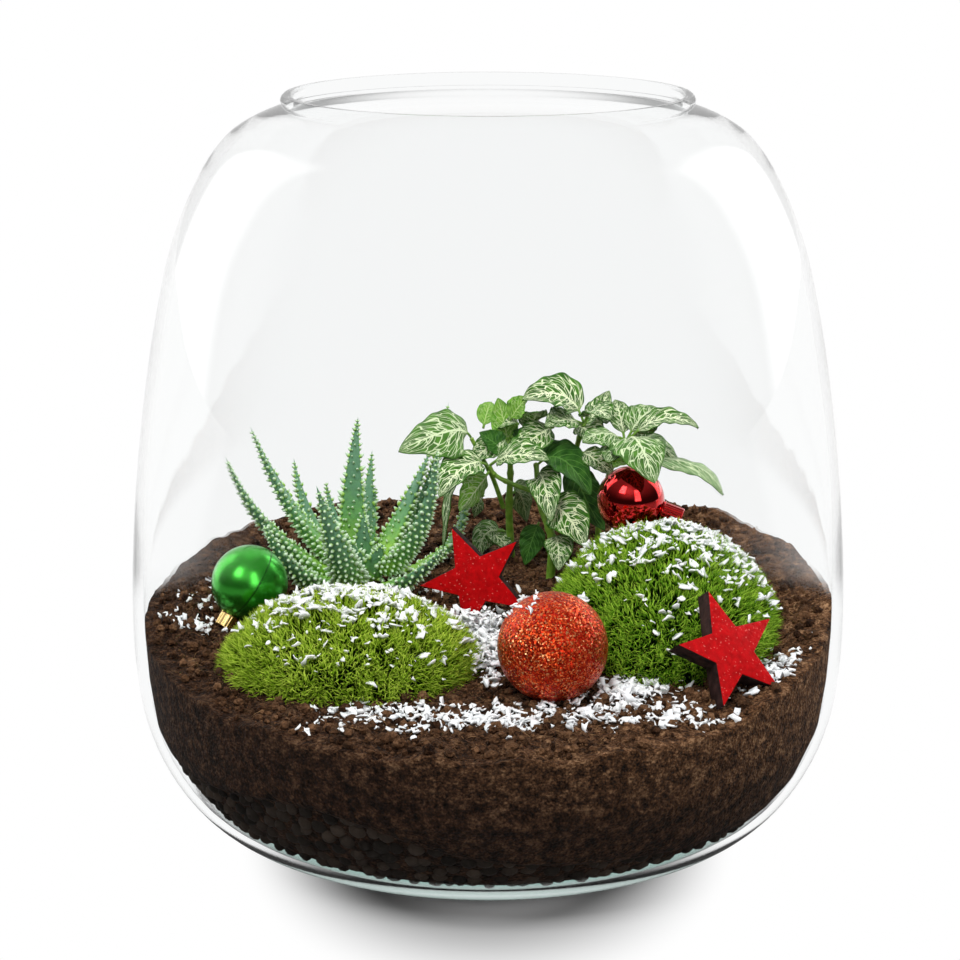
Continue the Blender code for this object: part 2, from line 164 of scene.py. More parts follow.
# %% [markdown]
# ## Making a mesh from arrays
# Moss, crumbs and flakes are thousands of tiny shapes. Modelling one by hand and copying its corners as
# arrays is far quicker than thousands of objects, and gives one mesh that is easy to move and export.


# %% Mesh helpers
def deselect():
    bpy.ops.object.select_all(action="DESELECT")


def new_mesh(name, corners, faces, uv=None, tint=None, smooth=True):
    """A mesh object at the origin; faces is an array of equal-sided faces or a list of such arrays."""
    groups = faces if isinstance(faces, list) else [faces]
    mesh = bpy.data.meshes.new(name)
    loops = np.concatenate([np.asarray(group).ravel() for group in groups])
    sizes = np.concatenate([np.full(len(group), np.shape(group)[1]) for group in groups])
    mesh.vertices.add(len(corners))
    mesh.vertices.foreach_set("co", np.asarray(corners, dtype=np.float32).ravel())
    mesh.loops.add(len(loops))
    mesh.loops.foreach_set("vertex_index", loops.astype(np.int32))
    mesh.polygons.add(len(sizes))
    mesh.polygons.foreach_set("loop_start", np.concatenate([[0], np.cumsum(sizes)[:-1]]).astype(np.int32))
    mesh.update(calc_edges=True)
    mesh.validate()
    if uv is not None:
        layer = mesh.uv_layers.new(name="UVMap")
        layer.data.foreach_set("uv", np.asarray(uv, dtype=np.float32)[loops].ravel())
    if tint is not None:
        attribute = mesh.attributes.new("tint", "FLOAT", "POINT")
        attribute.data.foreach_set("value", np.asarray(tint, dtype=np.float32))
    if smooth:
        mesh.shade_smooth()
    piece = bpy.data.objects.new(name, mesh)
    bpy.context.scene.collection.objects.link(piece)
    return piece


def template(operator, **settings):
    """A primitive that will be copied: made once, then kept only as a mesh."""
    deselect()
    operator(**settings)
    made = bpy.context.active_object
    mesh = made.data
    bpy.data.objects.remove(made)
    return mesh


def corners_of(mesh):
    places = np.empty(len(mesh.vertices) * 3)
    mesh.vertices.foreach_get("co", places)
    return places.reshape(-1, 3)


def faces_of(mesh):
    """The faces as lists of arrays, one for each number of sides."""
    sizes = sorted({len(face.vertices) for face in mesh.polygons})
    return [np.array([face.vertices[:] for face in mesh.polygons if len(face.vertices) == size]) for size in sizes]


def ball_grid(sides, rows):
    """A sphere for laying along a line: its mesh, and each corner's share of the way and angle."""
    mesh = template(bpy.ops.mesh.primitive_uv_sphere_add, segments=sides, ring_count=rows, radius=1)
    x, y, z = corners_of(mesh).T
    share = np.arccos(np.clip(z, -1, 1)) / math.pi
    return faces_of(mesh), share, np.arctan2(y, x)


def scatter(shape, triangles, spots, turns, sizes):
    """Copies of a small shape: its corners turned, sized and moved to each spot."""
    placed = np.einsum("nij,kj->nki", turns, shape) * sizes[:, None, :] if np.ndim(sizes) == 2 \
        else np.einsum("nij,kj->nki", turns, shape) * sizes[:, None, None]
    corners = placed + spots[:, None, :]
    faces = triangles[None] + (np.arange(len(spots)) * len(shape))[:, None, None]
    return corners.reshape(-1, 3), faces.reshape(-1, triangles.shape[1])


def random_turns(count):
    """Random rotations, from random quaternions."""
    w, x, y, z = unit(rng.normal(size=(count, 4))).T
    return np.stack([
        np.stack([1 - 2 * (y * y + z * z), 2 * (x * y - w * z), 2 * (x * z + w * y)], -1),
        np.stack([2 * (x * y + w * z), 1 - 2 * (x * x + z * z), 2 * (y * z - w * x)], -1),
        np.stack([2 * (x * z - w * y), 2 * (y * z + w * x), 1 - 2 * (x * x + y * y)], -1)], -2)


def finish_piece(piece, material, slot, *nodes):
    """Gives a piece its material and its place on the root body, and hides the nodes that it stands for."""
    piece.data.materials.clear()
    piece.data.materials.append(material)
    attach(piece, "root")
    if nodes:
        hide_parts(*nodes)
    print(f"{piece.name}: {len(piece.data.vertices)} corners, {len(piece.data.polygons)} faces")


# %% [markdown]
# ## Shader maths as Python
# A material is a graph of nodes. Wiring each Math node by hand hides the idea, so a small class wraps a
# socket and turns Python's + - * / into Math nodes. A line such as veins * 0.5 + 0.2 then reads as maths.


# %% Wires and finishes
class Wire:
    """An output socket of a finish, with arithmetic that adds Math nodes."""

    def __init__(self, finish, socket):
        self.finish = finish
        self.socket = socket

    def maths(self, operation, *values):
        return self.finish.add("ShaderNodeMath", {"operation": operation}, *values)

    def __add__(self, other):
        return self.maths("ADD", self, other)

    def __sub__(self, other):
        return self.maths("SUBTRACT", self, other)

    def __rsub__(self, other):
        return self.maths("SUBTRACT", other, self)

    def __mul__(self, other):
        return self.maths("MULTIPLY", self, other)

    def __truediv__(self, other):
        return self.maths("DIVIDE", self, other)

    def __pow__(self, other):
        return self.maths("POWER", self, other)

    def absolute(self):
        return self.maths("ABSOLUTE", self)

    def sine(self):
        return self.maths("SINE", self)

    def least(self, other):
        return self.maths("MINIMUM", self, other)

    def most(self, other):
        return self.maths("MAXIMUM", self, other)

    def step(self, low, high):
        """0 below low, 1 above high, smooth between; low above high turns it round."""
        settings = {"interpolation_type": "SMOOTHSTEP"}
        if low < high:
            return self.finish.add("ShaderNodeMapRange", settings, self, low, high, 0, 1)
        return self.finish.add("ShaderNodeMapRange", settings, self, high, low, 1, 0)

    __radd__ = __add__
    __rmul__ = __mul__


class Graph:
    """A node tree, and methods that add nodes to it."""

    def __init__(self, tree):
        self.tree = tree

    def plug(self, socket, value):
        if isinstance(value, Wire):
            self.tree.links.new(value.socket, socket)
        elif value is not None:
            socket.default_value = value

    def add(self, kind, settings=None, *values, out=0, **named_values):
        node = self.tree.nodes.new(kind)
        for key, value in (settings or {}).items():
            if key == "stops":
                ramp = node.color_ramp.elements
                ramp[0].position, ramp[0].color = value[0][0], (*value[0][1], 1)
                ramp[1].position, ramp[1].color = value[-1][0], (*value[-1][1], 1)
                for place, colour in value[1:-1]:
                    ramp.new(place).color = (*colour, 1)
            else:
                setattr(node, key, value)
        for socket, value in zip(node.inputs, values):
            self.plug(socket, value)
        for key, value in named_values.items():
            self.plug(node.inputs[key.replace("_", " ")], value)
        return Wire(self, node.outputs[out])

    def place(self):
        return self.add("ShaderNodeTexCoord", out="Object")

    def noise(self, scale, detail=3, where=None, out=0, **more):
        return self.add("ShaderNodeTexNoise", None, Vector=where or self.place(), Scale=scale, Detail=detail,
                        out=out, **more)

    def cells(self, scale, feature="F1", where=None, out=0):
        return self.add("ShaderNodeTexVoronoi", {"feature": feature}, Vector=where or self.place(),
                        Scale=scale, out=out)

    def ramp(self, factor, *stops):
        return self.add("ShaderNodeValToRGB", {"stops": stops}, factor)

    def mix(self, factor, start, end, blend="MIX"):
        node = self.tree.nodes.new("ShaderNodeMix")
        node.data_type = "RGBA"
        node.blend_type = blend
        start, end = ((*value, 1) if isinstance(value, tuple) and len(value) == 3 else value
                      for value in (start, end))
        for socket, value in zip((node.inputs[0], node.inputs[6], node.inputs[7]), (factor, start, end)):
            self.plug(socket, value)
        return Wire(self, node.outputs[2])

    def split(self, vector):
        parts = self.tree.nodes.new("ShaderNodeSeparateXYZ")
        self.plug(parts.inputs[0], vector)
        return [Wire(self, socket) for socket in parts.outputs]

    def tint(self):
        return self.add("ShaderNodeAttribute", {"attribute_name": "tint"}, out="Fac")

    def uv(self):
        return self.split(self.add("ShaderNodeUVMap"))[:2]

    def path(self, ray):
        return self.add("ShaderNodeLightPath", out=ray)

    def vector(self, operation, *values, out=0, **named_values):
        return self.add("ShaderNodeVectorMath", {"operation": operation}, *values, out=out, **named_values)

    def bump(self, height, depth, strength=1.0):
        return self.add("ShaderNodeBump", None, Height=height, Distance=depth, Strength=strength)


class Finish(Graph):
    """A material with one Principled shader."""

    def __init__(self, name, **constants):
        self.material = bpy.data.materials.new(name)
        self.material.use_nodes = True
        super().__init__(self.material.node_tree)
        self.shader = self.tree.nodes["Principled BSDF"]
        self.surface = self.tree.nodes["Material Output"].inputs["Surface"]
        for key, value in constants.items():
            self.shader.inputs[key.replace("_", " ")].default_value = value

    def give(self, **wires):
        for key, value in wires.items():
            self.plug(self.shader.inputs[key.replace("_", " ")], value)
        return self.material


# %% [markdown]
# ## The vessel
# The real vessel is blown or pressed in one piece, so it is one turned wall. We read the outline from
# the solid, smooth it, and spin it round the axis in edit mode, exactly as a lathe would.

# %% Outline of the glass
corners, triangles = solid("glass_vessel")
near = neighbours(corners, triangles)
on_plane = [index for index in range(len(corners)) if abs(corners[index, 1]) < 1e-5 and corners[index, 0] > 0]
low_points = [index for index in on_plane if corners[index, 2] < 0.0105 and corners[index, 0] < 0.061]
start = min(low_points, key=lambda index: corners[index, 0])
end = max(low_points, key=lambda index: corners[index, 2])
walk = [start]
while walk[-1] != end:
    ahead = [index for index in near[walk[-1]] if index in on_plane and index not in walk and (
        len(walk) > 1 or corners[index, 2] < corners[start, 2])]
    ahead.sort(key=lambda index: np.linalg.norm(corners[index] - corners[walk[-1]]))
    walk.append(ahead[0])
outline = corners[walk][:, [0, 2]]
outline = np.vstack([[0, outline[0, 1]], outline, [0, outline[-1, 1]]])
rim_step = int(np.argmax(outline[:, 1]))
THIN_WALL = 2.5 * MM
THIN_BELOW = 50 * MM
for index in range(rim_step + 3, len(outline)):
    outer = outline[1:rim_step]
    fine = np.linspace(0, len(outer) - 1.001, 400)
    outer = np.c_[np.interp(fine, np.arange(len(outer)), outer[:, 0]), np.interp(fine, np.arange(len(outer)), outer[:, 1])]
    closest = outer[np.argmin(np.linalg.norm(outer - outline[index], axis=1))]
    gap = outline[index] - closest
    thinner = closest + gap * min(1, THIN_WALL / np.linalg.norm(gap))
    if outline[index, 1] < THIN_BELOW and outline[index, 0] > 0:
        outline[index] = thinner
outline[-1, 1] = outline[-2, 1]
inner_wall = outline[rim_step + 3:][::-1]
inner_floor = float(inner_wall[0][1])
print("outline points:", len(outline), "rim height:", outline[rim_step, 1])


def inner_radius(height):
    """The inner wall's radius at a height."""
    rising = inner_wall[1:]
    return np.interp(height, rising[:, 1], rising[:, 0])


# %% Spin the glass
GLASS_SIDES = 160
foot_end = 4
smooth_outline = np.vstack([outline[:foot_end], resample(outline[foot_end:-1], 3 * (len(outline) - foot_end - 1) - 2),
                            outline[-1:]])
smooth_outline = np.clip(smooth_outline, 0, outline.max(axis=0))
deselect()
profile = bpy.data.meshes.new("glass")
profile.from_pydata([(radius, 0, height) for radius, height in smooth_outline],
                    [(index, index + 1) for index in range(len(smooth_outline) - 1)], [])
glass = bpy.data.objects.new("glass_wall", profile)
bpy.context.scene.collection.objects.link(glass)
bpy.context.view_layer.objects.active = glass
glass.select_set(True)
bpy.ops.object.mode_set(mode="EDIT")
bpy.ops.mesh.select_all(action="SELECT")
bpy.ops.mesh.spin(steps=GLASS_SIDES, angle=math.tau, center=(0, 0, 0), axis=(0, 0, 1))
bpy.ops.mesh.select_all(action="SELECT")
bpy.ops.mesh.remove_doubles(threshold=0.01 * MM)
bpy.ops.mesh.normals_make_consistent(inside=False)
bpy.ops.object.mode_set(mode="OBJECT")
glass.data.shade_smooth()

# %% [markdown]
# Clear glass has no colour of its own, but light that runs along the thick base comes out faintly
# green. Seen square on, good glass can hardly be seen at all, so there the finish is transparent, and
# it turns to real bending glass towards the edges, where the eye finds it. A ray must leave the wall
# in the way that it came in: an even number of passes through glass says that it is in the air, and an
# odd number that it is inside the wall. A lamp's rays always go straight through, to light the plants.


# %% Clear glass
def clear_glass():
    glassy = Finish("clear_glass", Roughness=0.0, IOR=1.42, Transmission_Weight=1.0)
    _, _, height = glassy.split(glassy.place())
    base = height.step(0.011, 0.002)
    glassy.give(Base_Color=glassy.mix(base, (0.985, 0.990, 0.989), (0.38, 0.62, 0.56)))
    passes = glassy.path("Transmission Depth")
    in_air = 1 - passes.maths("MODULO", passes, 2)
    leaving = glassy.add("ShaderNodeNewGeometry", out="Backfacing")
    turned = glassy.add("ShaderNodeLayerWeight", None, 0.5, out="Facing")
    rarely = height.step(0.118, 0.080) * height.step(0.009, 0.018) * 0.62 + height.step(0.230, 0.236) * 0.42
    edge_on = (turned - rarely).step(0.20, 0.46)
    body = height.step(0.009, 0.018)
    through = in_air * leaving.most(body * (1 - edge_on))
    bounced = glassy.path("Is Glossy Ray") * (1 - glassy.path("Is Transmission Ray")) * in_air
    lit = glassy.path("Is Shadow Ray").most(glassy.path("Is Diffuse Ray"))
    clear = glassy.add("ShaderNodeBsdfTransparent", None, (0.975, 0.978, 0.978, 1))
    wall = Wire(glassy, glassy.shader.outputs[0])
    mixed = glassy.add("ShaderNodeMixShader", None, lit.most(bounced).most(through), wall, clear)
    glassy.tree.links.new(mixed.socket, glassy.surface)
    return glassy.material


finish_piece(glass, clear_glass(), "clear_glass", "glass_vessel")

# %% [markdown]
# ## The ground
# Potting soil is dark, fibrous and crumbly. One surface could never show that, so a finely bumped bed
# fills the vessel and thousands of loose crumbs and root fibres are strewn over it.

# %% Read the soil's slope
soil_corners, _ = solid("potting_soil")
reach = np.hypot(soil_corners[:, 0], soil_corners[:, 1])
level = soil_corners[(reach < 0.095) & (soil_corners[:, 2] > 0.055)]
slope = np.linalg.lstsq(np.c_[level[:, :2], np.ones(len(level))], level[:, 2], rcond=None)[0]
drain_corners, _ = solid("drainage_gravel")
heading = np.round(np.degrees(np.arctan2(drain_corners[:, 1], drain_corners[:, 0])))
drain = np.array([max(drain_corners[heading == turn], key=lambda corner: corner[2]) for turn in set(heading)])
drain_slope = np.linalg.lstsq(np.c_[drain[:, :2], np.ones(len(drain))], drain[:, 2], rcond=None)[0]
CRUMB_DEPTH = 2.0 * MM
print("soil slope:", slope.round(4), "stone slope:", drain_slope.round(4))


def lumps(x, y, scale, seed):
    """Smooth unevenness between -1 and 1, from a few crossing waves."""
    total = 0
    source = np.random.default_rng(seed)
    for _ in range(7):
        turn = source.uniform(0, math.tau)
        pitch = scale * source.uniform(0.6, 1.6)
        total = total + np.sin((x * math.cos(turn) + y * math.sin(turn)) * math.tau / pitch + source.uniform(0, 6))
    return total / 3.5


def stone_level(x, y):
    """The top of the stones; at the left front they were heaped higher before the soil went in."""
    heap = np.exp(-((x + 0.052)**2 + (y + 0.095)**2) / 0.038**2)
    return drain_slope[0] * x + drain_slope[1] * y + drain_slope[2] + 11 * MM * heap


def soil_height(x, y):
    """Height of the loose soil at each place."""
    firm = slope[0] * x + slope[1] * y + slope[2]
    radius, heading = np.hypot(x, y), np.arctan2(y, x)
    edge = np.clip((radius - 0.085) / 0.03, 0, 1)
    bank = (7 + 3 * np.cos(heading - 0.3)) * (1 - 0.72 * np.exp(-((heading - math.pi / 2) / 0.5)**2))
    bank = bank * np.clip((np.sin(heading) + 0.65) / 0.6, 0, 1) * MM
    return (firm + CRUMB_DEPTH + 0.5 * MM * lumps(x, y, 0.012, 3) + 0.35 * MM * lumps(x, y, 0.004, 5)
            + edge * 1.6 * MM * lumps(x, y, 0.03, 8) + bank * edge**2 * (3 - 2 * edge))


# %% The soil bed
SOIL_SIDES = 320
TOP_RINGS, SIDE_RINGS = 70, 40
bed_faces, bed_way, bed_angle = ball_grid(SOIL_SIDES, TOP_RINGS + SIDE_RINGS)
turns = np.arange(SOIL_SIDES) / SOIL_SIDES * math.tau
edge_radius = np.full(SOIL_SIDES, 0.114)
for _ in range(6):
    edge_height = soil_height(edge_radius * np.cos(turns), edge_radius * np.sin(turns))
    edge_radius = inner_radius(edge_height) - 0.25 * MM
layers = []
for share in np.linspace(0.02, 1, TOP_RINGS):
    x, y = edge_radius * share * np.cos(turns), edge_radius * share * np.sin(turns)
    layers.append(np.c_[x, y, np.where(share > 0.999, edge_height, soil_height(x, y))])
STONE_DEPTH = 2.6 * MM
bottom = inner_floor + 0.3 * MM
for share in np.linspace(0, 1, SIDE_RINGS)[1:]:
    height = edge_height + (bottom - edge_height) * share
    radius = inner_radius(height) - 0.25 * MM
    stones_top = stone_level(radius * np.cos(turns), radius * np.sin(turns))
    radius = radius - STONE_DEPTH * np.clip((stones_top - height) / (2 * MM), 0, 1)
    layers.append(np.c_[radius * np.cos(turns), radius * np.sin(turns), height])
ring = np.round(bed_way * (TOP_RINGS + SIDE_RINGS)).astype(int)
place = np.round(bed_angle / math.tau * SOIL_SIDES).astype(int) % SOIL_SIDES
bed = np.array(layers)[np.clip(ring - 1, 0, len(layers) - 1), place]
bed[ring == 0] = 0, 0, soil_height(0.0, 0.0)
bed[ring == TOP_RINGS + SIDE_RINGS] = 0, 0, bottom
soil_bed = new_mesh("soil_bed", bed, bed_faces)


# %% Soil finish
def soil_finish(name, loose):
    """Dark crumbly earth with rusty fibres; loose crumbs vary by their tint."""
    earth = Finish(name, Roughness=0.92, Specular_IOR_Level=0.25)
    x, _, height = earth.split(earth.place())
    coarse = earth.noise(260, 6)
    fine = earth.noise(1400, 4)
    grains = earth.cells(900)
    colour = earth.ramp(coarse * 0.40 + earth.noise(620, 5) * 0.28 + fine * 0.32, (0.38, (0.009, 0.004, 0.002)), (0.46, (0.055, 0.024, 0.010)),
                        (0.53, (0.150, 0.070, 0.032)), (0.63, (0.42, 0.24, 0.125)))
    if loose:
        colour = earth.mix(earth.tint(), earth.mix(1.0, colour, (0.30, 0.26, 0.24), "MULTIPLY"),
                           earth.mix(0.55, colour, (0.20, 0.10, 0.05)))
    else:
        # The packed bed is painted darker towards the bottom and towards the left: painted shade.
        painted_low_left_shade = (height * 42 + x * 9).step(3.7, 1.5)
        colour = earth.mix(painted_low_left_shade * 0.92, colour, earth.mix(1.0, colour, (0.19, 0.17, 0.18), "MULTIPLY"))
    bumped = earth.bump(coarse * 0.8 + grains * 0.5 + fine * 0.3, 0.0022, 1.0)
    return earth.give(Base_Color=colour, Normal=bumped)


finish_piece(soil_bed, soil_finish("packed_soil", False), "soil", "potting_soil", "drainage_gravel")

# %% [markdown]
# Crumbs start as one icosphere. Each copy is squeezed and turned at random, so no two look alike.

# %% Crumbs
deselect()
bpy.ops.mesh.primitive_ico_sphere_add(subdivisions=1, radius=1)
seed_ball = bpy.context.active_object
ball_corners = np.array([vertex.co[:] for vertex in seed_ball.data.vertices])
ball_faces = np.array([face.vertices[:] for face in seed_ball.data.polygons])
bpy.data.objects.remove(seed_ball)
CRUMBS = 8600
crumb_radius = 0.113 * np.sqrt(rng.uniform(0, 1, CRUMBS))
crumb_turn = rng.uniform(0, math.tau, CRUMBS)
crumb_x, crumb_y = crumb_radius * np.cos(crumb_turn), crumb_radius * np.sin(crumb_turn)
crumb_size = (0.35 + 2.1 * rng.uniform(0, 1, CRUMBS)**4.5) * MM
spots = np.c_[crumb_x, crumb_y, soil_height(crumb_x, crumb_y) + crumb_size * 0.3]
rough_ball = ball_corners * rng.uniform(0.75, 1.25, (len(ball_corners), 1))
crumb_corners, crumb_faces = scatter(rough_ball, ball_faces, spots, random_turns(CRUMBS),
                                     crumb_size[:, None] * rng.uniform(0.6, 1.3, (CRUMBS, 3)))
crumb_tint = np.repeat(rng.uniform(0, 1, CRUMBS)**1.5, len(ball_corners))
crumbs = new_mesh("soil_crumbs", crumb_corners, crumb_faces, tint=crumb_tint, smooth=False)
finish_piece(crumbs, soil_finish("loose_soil", True), "soil")

# %% Root fibres
FIBRES = 3400
FIBRE_STEPS = 5


def fibres(name, count, x, y, lift, length, thick):
    """Thin three-sided curved strands lying on the soil."""
    heading = rng.uniform(0, math.tau, count)
    bend = rng.normal(0, 1.2, count)
    lines = []
    place = np.c_[x, y]
    rise = rng.uniform(-0.3, 0.5, count)
    for step in range(FIBRE_STEPS):
        share = step / (FIBRE_STEPS - 1)
        bow = np.sin(share * math.pi) * rise * length * 0.35
        height = soil_height(place[:, 0], place[:, 1]) + lift + bow
        lines.append(np.c_[place, height])
        turn = heading + bend * share
        place = place + np.c_[np.cos(turn), np.sin(turn)] * (length / FIBRE_STEPS)[:, None]
    lines = np.array(lines)
    radius = thick[None, :] * np.array([0.5, 1, 1, 0.9, 0.35])[:, None]
    faces, way, angle = ball_grid(3, FIBRE_STEPS + 1)
    ring = np.round(way * (FIBRE_STEPS + 1)).astype(int)
    station = np.clip(ring - 1, 0, FIBRE_STEPS - 1)
    wide = (ring > 0) * (ring <= FIBRE_STEPS)
    level, upright = np.c_[np.sin(heading), -np.cos(heading), np.zeros(count)], np.array([0, 0, 1.0])
    offset = (level[None] * np.cos(angle)[:, None, None] + upright * np.sin(angle)[:, None, None])
    corners = lines[station] + offset * (radius[station] * wide[:, None])[..., None]
    starts = (np.arange(count) * len(ring))[:, None, None]
    return new_mesh(name, corners.transpose(1, 0, 2).reshape(-1, 3),
                    [(group[None] + starts).reshape(-1, group.shape[1]) for group in faces],
                    tint=np.repeat(rng.uniform(0, 1, count), len(ring)))


def fibre_finish():
    straw = Finish("root_fibre", Roughness=0.8)
    return straw.give(Base_Color=straw.ramp(straw.tint(), (0.0, (0.03, 0.015, 0.008)), (0.6, (0.13, 0.06, 0.03)),
                                            (1.0, (0.36, 0.2, 0.09))))


fibre_radius = 0.104 * np.sqrt(rng.uniform(0, 1, FIBRES))
fibre_turn = rng.uniform(0, math.tau, FIBRES)
strands = fibres("root_fibres", FIBRES, fibre_radius * np.cos(fibre_turn), fibre_radius * np.sin(fibre_turn),
                 0.6 * MM, rng.uniform(1.5, 8, FIBRES) * MM, rng.uniform(0.05, 0.16, FIBRES) * MM)
finish_piece(strands, fibre_finish(), "soil")

# %% [markdown]
# ## Drainage stones
# Rounded dark stones show through the glass low on the left. Only those that touch the glass are ever
# seen, so they are set in rings against the wall, and the layer behind them is left to the soil bed.

# %% Stones against the wall
deselect()
bpy.ops.mesh.primitive_ico_sphere_add(subdivisions=2, radius=1)
seed_stone = bpy.context.active_object
stone_corners = np.array([vertex.co[:] for vertex in seed_stone.data.vertices])
stone_faces = np.array([face.vertices[:] for face in seed_stone.data.polygons])
bpy.data.objects.remove(seed_stone)
stone_spots, stone_sizes = [], []
for ring_height in np.arange(inner_floor + 0.0036, 0.044, 0.0042):
    ring_radius = float(inner_radius(ring_height))
    count = int(math.tau * ring_radius / 0.0062)
    for number in range(count):
        turn = math.tau * (number + rng.uniform(-0.3, 0.3)) / count
        size = rng.uniform(2.4, 4.4) * MM
        height = ring_height + rng.uniform(-0.9, 0.9) * MM
        radius = float(inner_radius(height - size * 0.5)) - size - 0.2 * MM
        x, y = radius * math.cos(turn), radius * math.sin(turn)
        if height < stone_level(x, y) and height > inner_floor + size:
            stone_spots.append((x, y, height))
            stone_sizes.append(size * rng.uniform(0.75, 1.0, 3))
stone_spots, stone_sizes = np.array(stone_spots), np.array(stone_sizes)
stones_mesh, stones_faces = scatter(stone_corners, stone_faces, stone_spots, random_turns(len(stone_spots)),
                                    stone_sizes)
stones = new_mesh("drainage_stones", stones_mesh, stones_faces,
                  tint=np.repeat(rng.uniform(0, 1, len(stone_spots)), len(stone_corners)))


def stone_finish():
    stone = Finish("drainage_stone", Roughness=0.8, Specular_IOR_Level=0.2)
    return stone.give(Base_Color=stone.mix(stone.tint(), (0.012, 0.009, 0.007), (0.060, 0.043, 0.032)),
                      Normal=stone.bump(stone.noise(700, 4), 0.0004))


finish_piece(stones, stone_finish(), "gravel")

# %% [markdown]
# ## Moss
# A moss cushion is thousands of short upright shoots on a dome. The dome comes from the frame's solid,
# and each shoot is a slim cone that leans at random, painted darker at its foot than at its tip as painted shade deep
# in the cushion.


# %% Dome of a cushion
def dome(node):
    """The cushion's middle, its reach to each side and its rise, from the solid's box."""
    low, high = (np.array(corner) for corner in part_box(node))
    middle = (low + high) / 2
    reach = (high - low)[:2] / 2
    floor = slope[0] * middle[0] + slope[1] * middle[1] + slope[2]
    return middle[:2], reach, high[2] - floor


def dome_point(node, share, turn):
    """Points and outward directions on the dome, at a share of its reach and an angle."""
    middle, reach, rise = dome(node)
    x = middle[0] + reach[0] * share * np.cos(turn)
    y = middle[1] + reach[1] * share * np.sin(turn)
    floor = slope[0] * x + slope[1] * y + slope[2]
    lift = rise * np.sqrt(np.maximum(0, 1 - share**2))
    bumps = lumps(x, y, 0.016, 11) * 0.9 * MM * (1 - share**4)
    normal = unit(np.stack([share * np.cos(turn) / reach[0], share * np.sin(turn) / reach[1],
                            np.sqrt(np.maximum(0.02, 1 - share**2)) / rise], axis=-1))
    return np.stack([x, y, floor + lift + bumps], axis=-1), normal


DOME_RINGS = 26
shoot_mesh = template(bpy.ops.mesh.primitive_uv_sphere_add, segments=3, ring_count=2, radius=1)
shoot_corners, shoot_triangles = corners_of(shoot_mesh), faces_of(shoot_mesh)[0]


def moss_cushion(name, node, shoots, seed):
    """A dome with its shoots, as one mesh."""
    source = np.random.default_rng(seed)
    bed_faces, way, angle = ball_grid(72, DOME_RINGS + 1)
    ring = np.round(way * (DOME_RINGS + 1)).astype(int)
    under = ring > DOME_RINGS
    share = np.where(under, 0, np.sin(math.pi / 2 * ring / DOME_RINGS))
    points, normals = dome_point(node, share, angle)
    bed_points = points - normals * 2.4 * MM
    ground = slope[0] * bed_points[:, 0] + slope[1] * bed_points[:, 1] + slope[2]
    bed_points[:, 2] = np.where(under, ground - 0.5 * MM, np.maximum(bed_points[:, 2], ground))
    share = np.sqrt(source.uniform(0, 1, shoots))
    share = share * (1 - 0.12 * source.uniform(0, 1, shoots)**2)
    share = np.sin(math.pi / 2 * share)
    turn = source.uniform(0, math.tau, shoots)
    feet, normals = dome_point(node, share, turn)
    feet = feet - normals * 2.6 * MM
    tuft = np.stack([lumps(feet[:, 0], feet[:, 1], 0.007, seed + side) for side in (20, 30, 40)], axis=-1)
    lean = unit(normals + source.normal(0, 0.26, (shoots, 3)) + tuft * 0.45 + [0, 0, 0.12])
    length = source.uniform(3.6, 7.0, shoots) * MM
    aside = unit(np.cross(lean, source.normal(size=(shoots, 3))))
    across = np.cross(lean, aside)
    thick = source.uniform(0.18, 0.40, shoots)[:, None] * MM
    middle_place = feet + lean * length[:, None] * 0.55
    curl = unit(lean + source.normal(0, 0.35, (shoots, 3)))
    tips = middle_place + curl * length[:, None] * 0.5
    own = source.uniform(0, 1, shoots)
    parts, tone_and_depth_shade = [], []
    for x, y, z in shoot_corners:
        rim = middle_place + (aside * x + across * y) * thick
        parts.append(tips if z > 0.5 else feet if z < -0.5 else rim)
        # Foot dark, tip light, each shoot with a random tone of its own: painted shade deep in the cushion.
        tone_and_depth_shade.append(own * 0.45 + 0.55 if z > 0.5 else own * 0.0 if z < -0.5 else own * 0.35 + 0.25)
    offset = len(bed_points)
    starts = (np.arange(shoots) * len(shoot_corners))[:, None, None] + offset
    shoot_faces = (shoot_triangles[None] + starts).reshape(-1, 3)
    points = np.vstack([bed_points, np.stack(parts, axis=1).reshape(-1, 3)])
    # The bed under the shoots takes the darkest colour: painted shade.
    tone_and_depth_shade = np.concatenate([np.zeros(offset), np.stack(tone_and_depth_shade, axis=1).ravel()])
    return new_mesh(name, points, [*bed_faces, shoot_faces], tint=tone_and_depth_shade, smooth=False)


def moss_finish(name, deep, mid, bright):
    green = Finish(name, Roughness=0.7, Specular_IOR_Level=0.12)
    patches = green.noise(70, 3)
    # The deepest stop is painted shade in the cushion's depths; the tint runs from the foot of a shoot to its tip.
    colour = green.ramp(green.tint() + patches * 0.4 - 0.2, (0.08, deep), (0.45, mid), (0.88, bright))
    return green.give(Base_Color=colour)


moss_left = moss_cushion("moss_cushion_left", "moss_left", 21000, 5)
finish_piece(moss_left, moss_finish("moss_lime", (0.006, 0.018, 0.001), (0.16, 0.29, 0.008), (0.58, 0.74, 0.09)),
             "moss", "moss_left")
moss_right = moss_cushion("moss_cushion_right", "moss_right", 23000, 6)
finish_piece(moss_right, moss_finish("moss_green", (0.003, 0.013, 0.001), (0.085, 0.22, 0.006), (0.42, 0.64, 0.06)),
             "moss", "moss_right")

# %% [markdown]
# ## The aloe
# Each leaf is thick, pointed and set with rows of white warts. A leaf starts as a sphere whose poles
# become the foot and the tip, and its rings are laid on the line that the frame's leaf gives.

# %% Aloe leaves
core_low, core_high = (np.array(corner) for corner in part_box("aloe_core"))
core = (core_low + core_high) / 2
LEAF_RINGS, LEAF_SIDES = 40, 20


aloe_faces, aloe_share, aloe_angle = ball_grid(LEAF_SIDES, LEAF_RINGS)


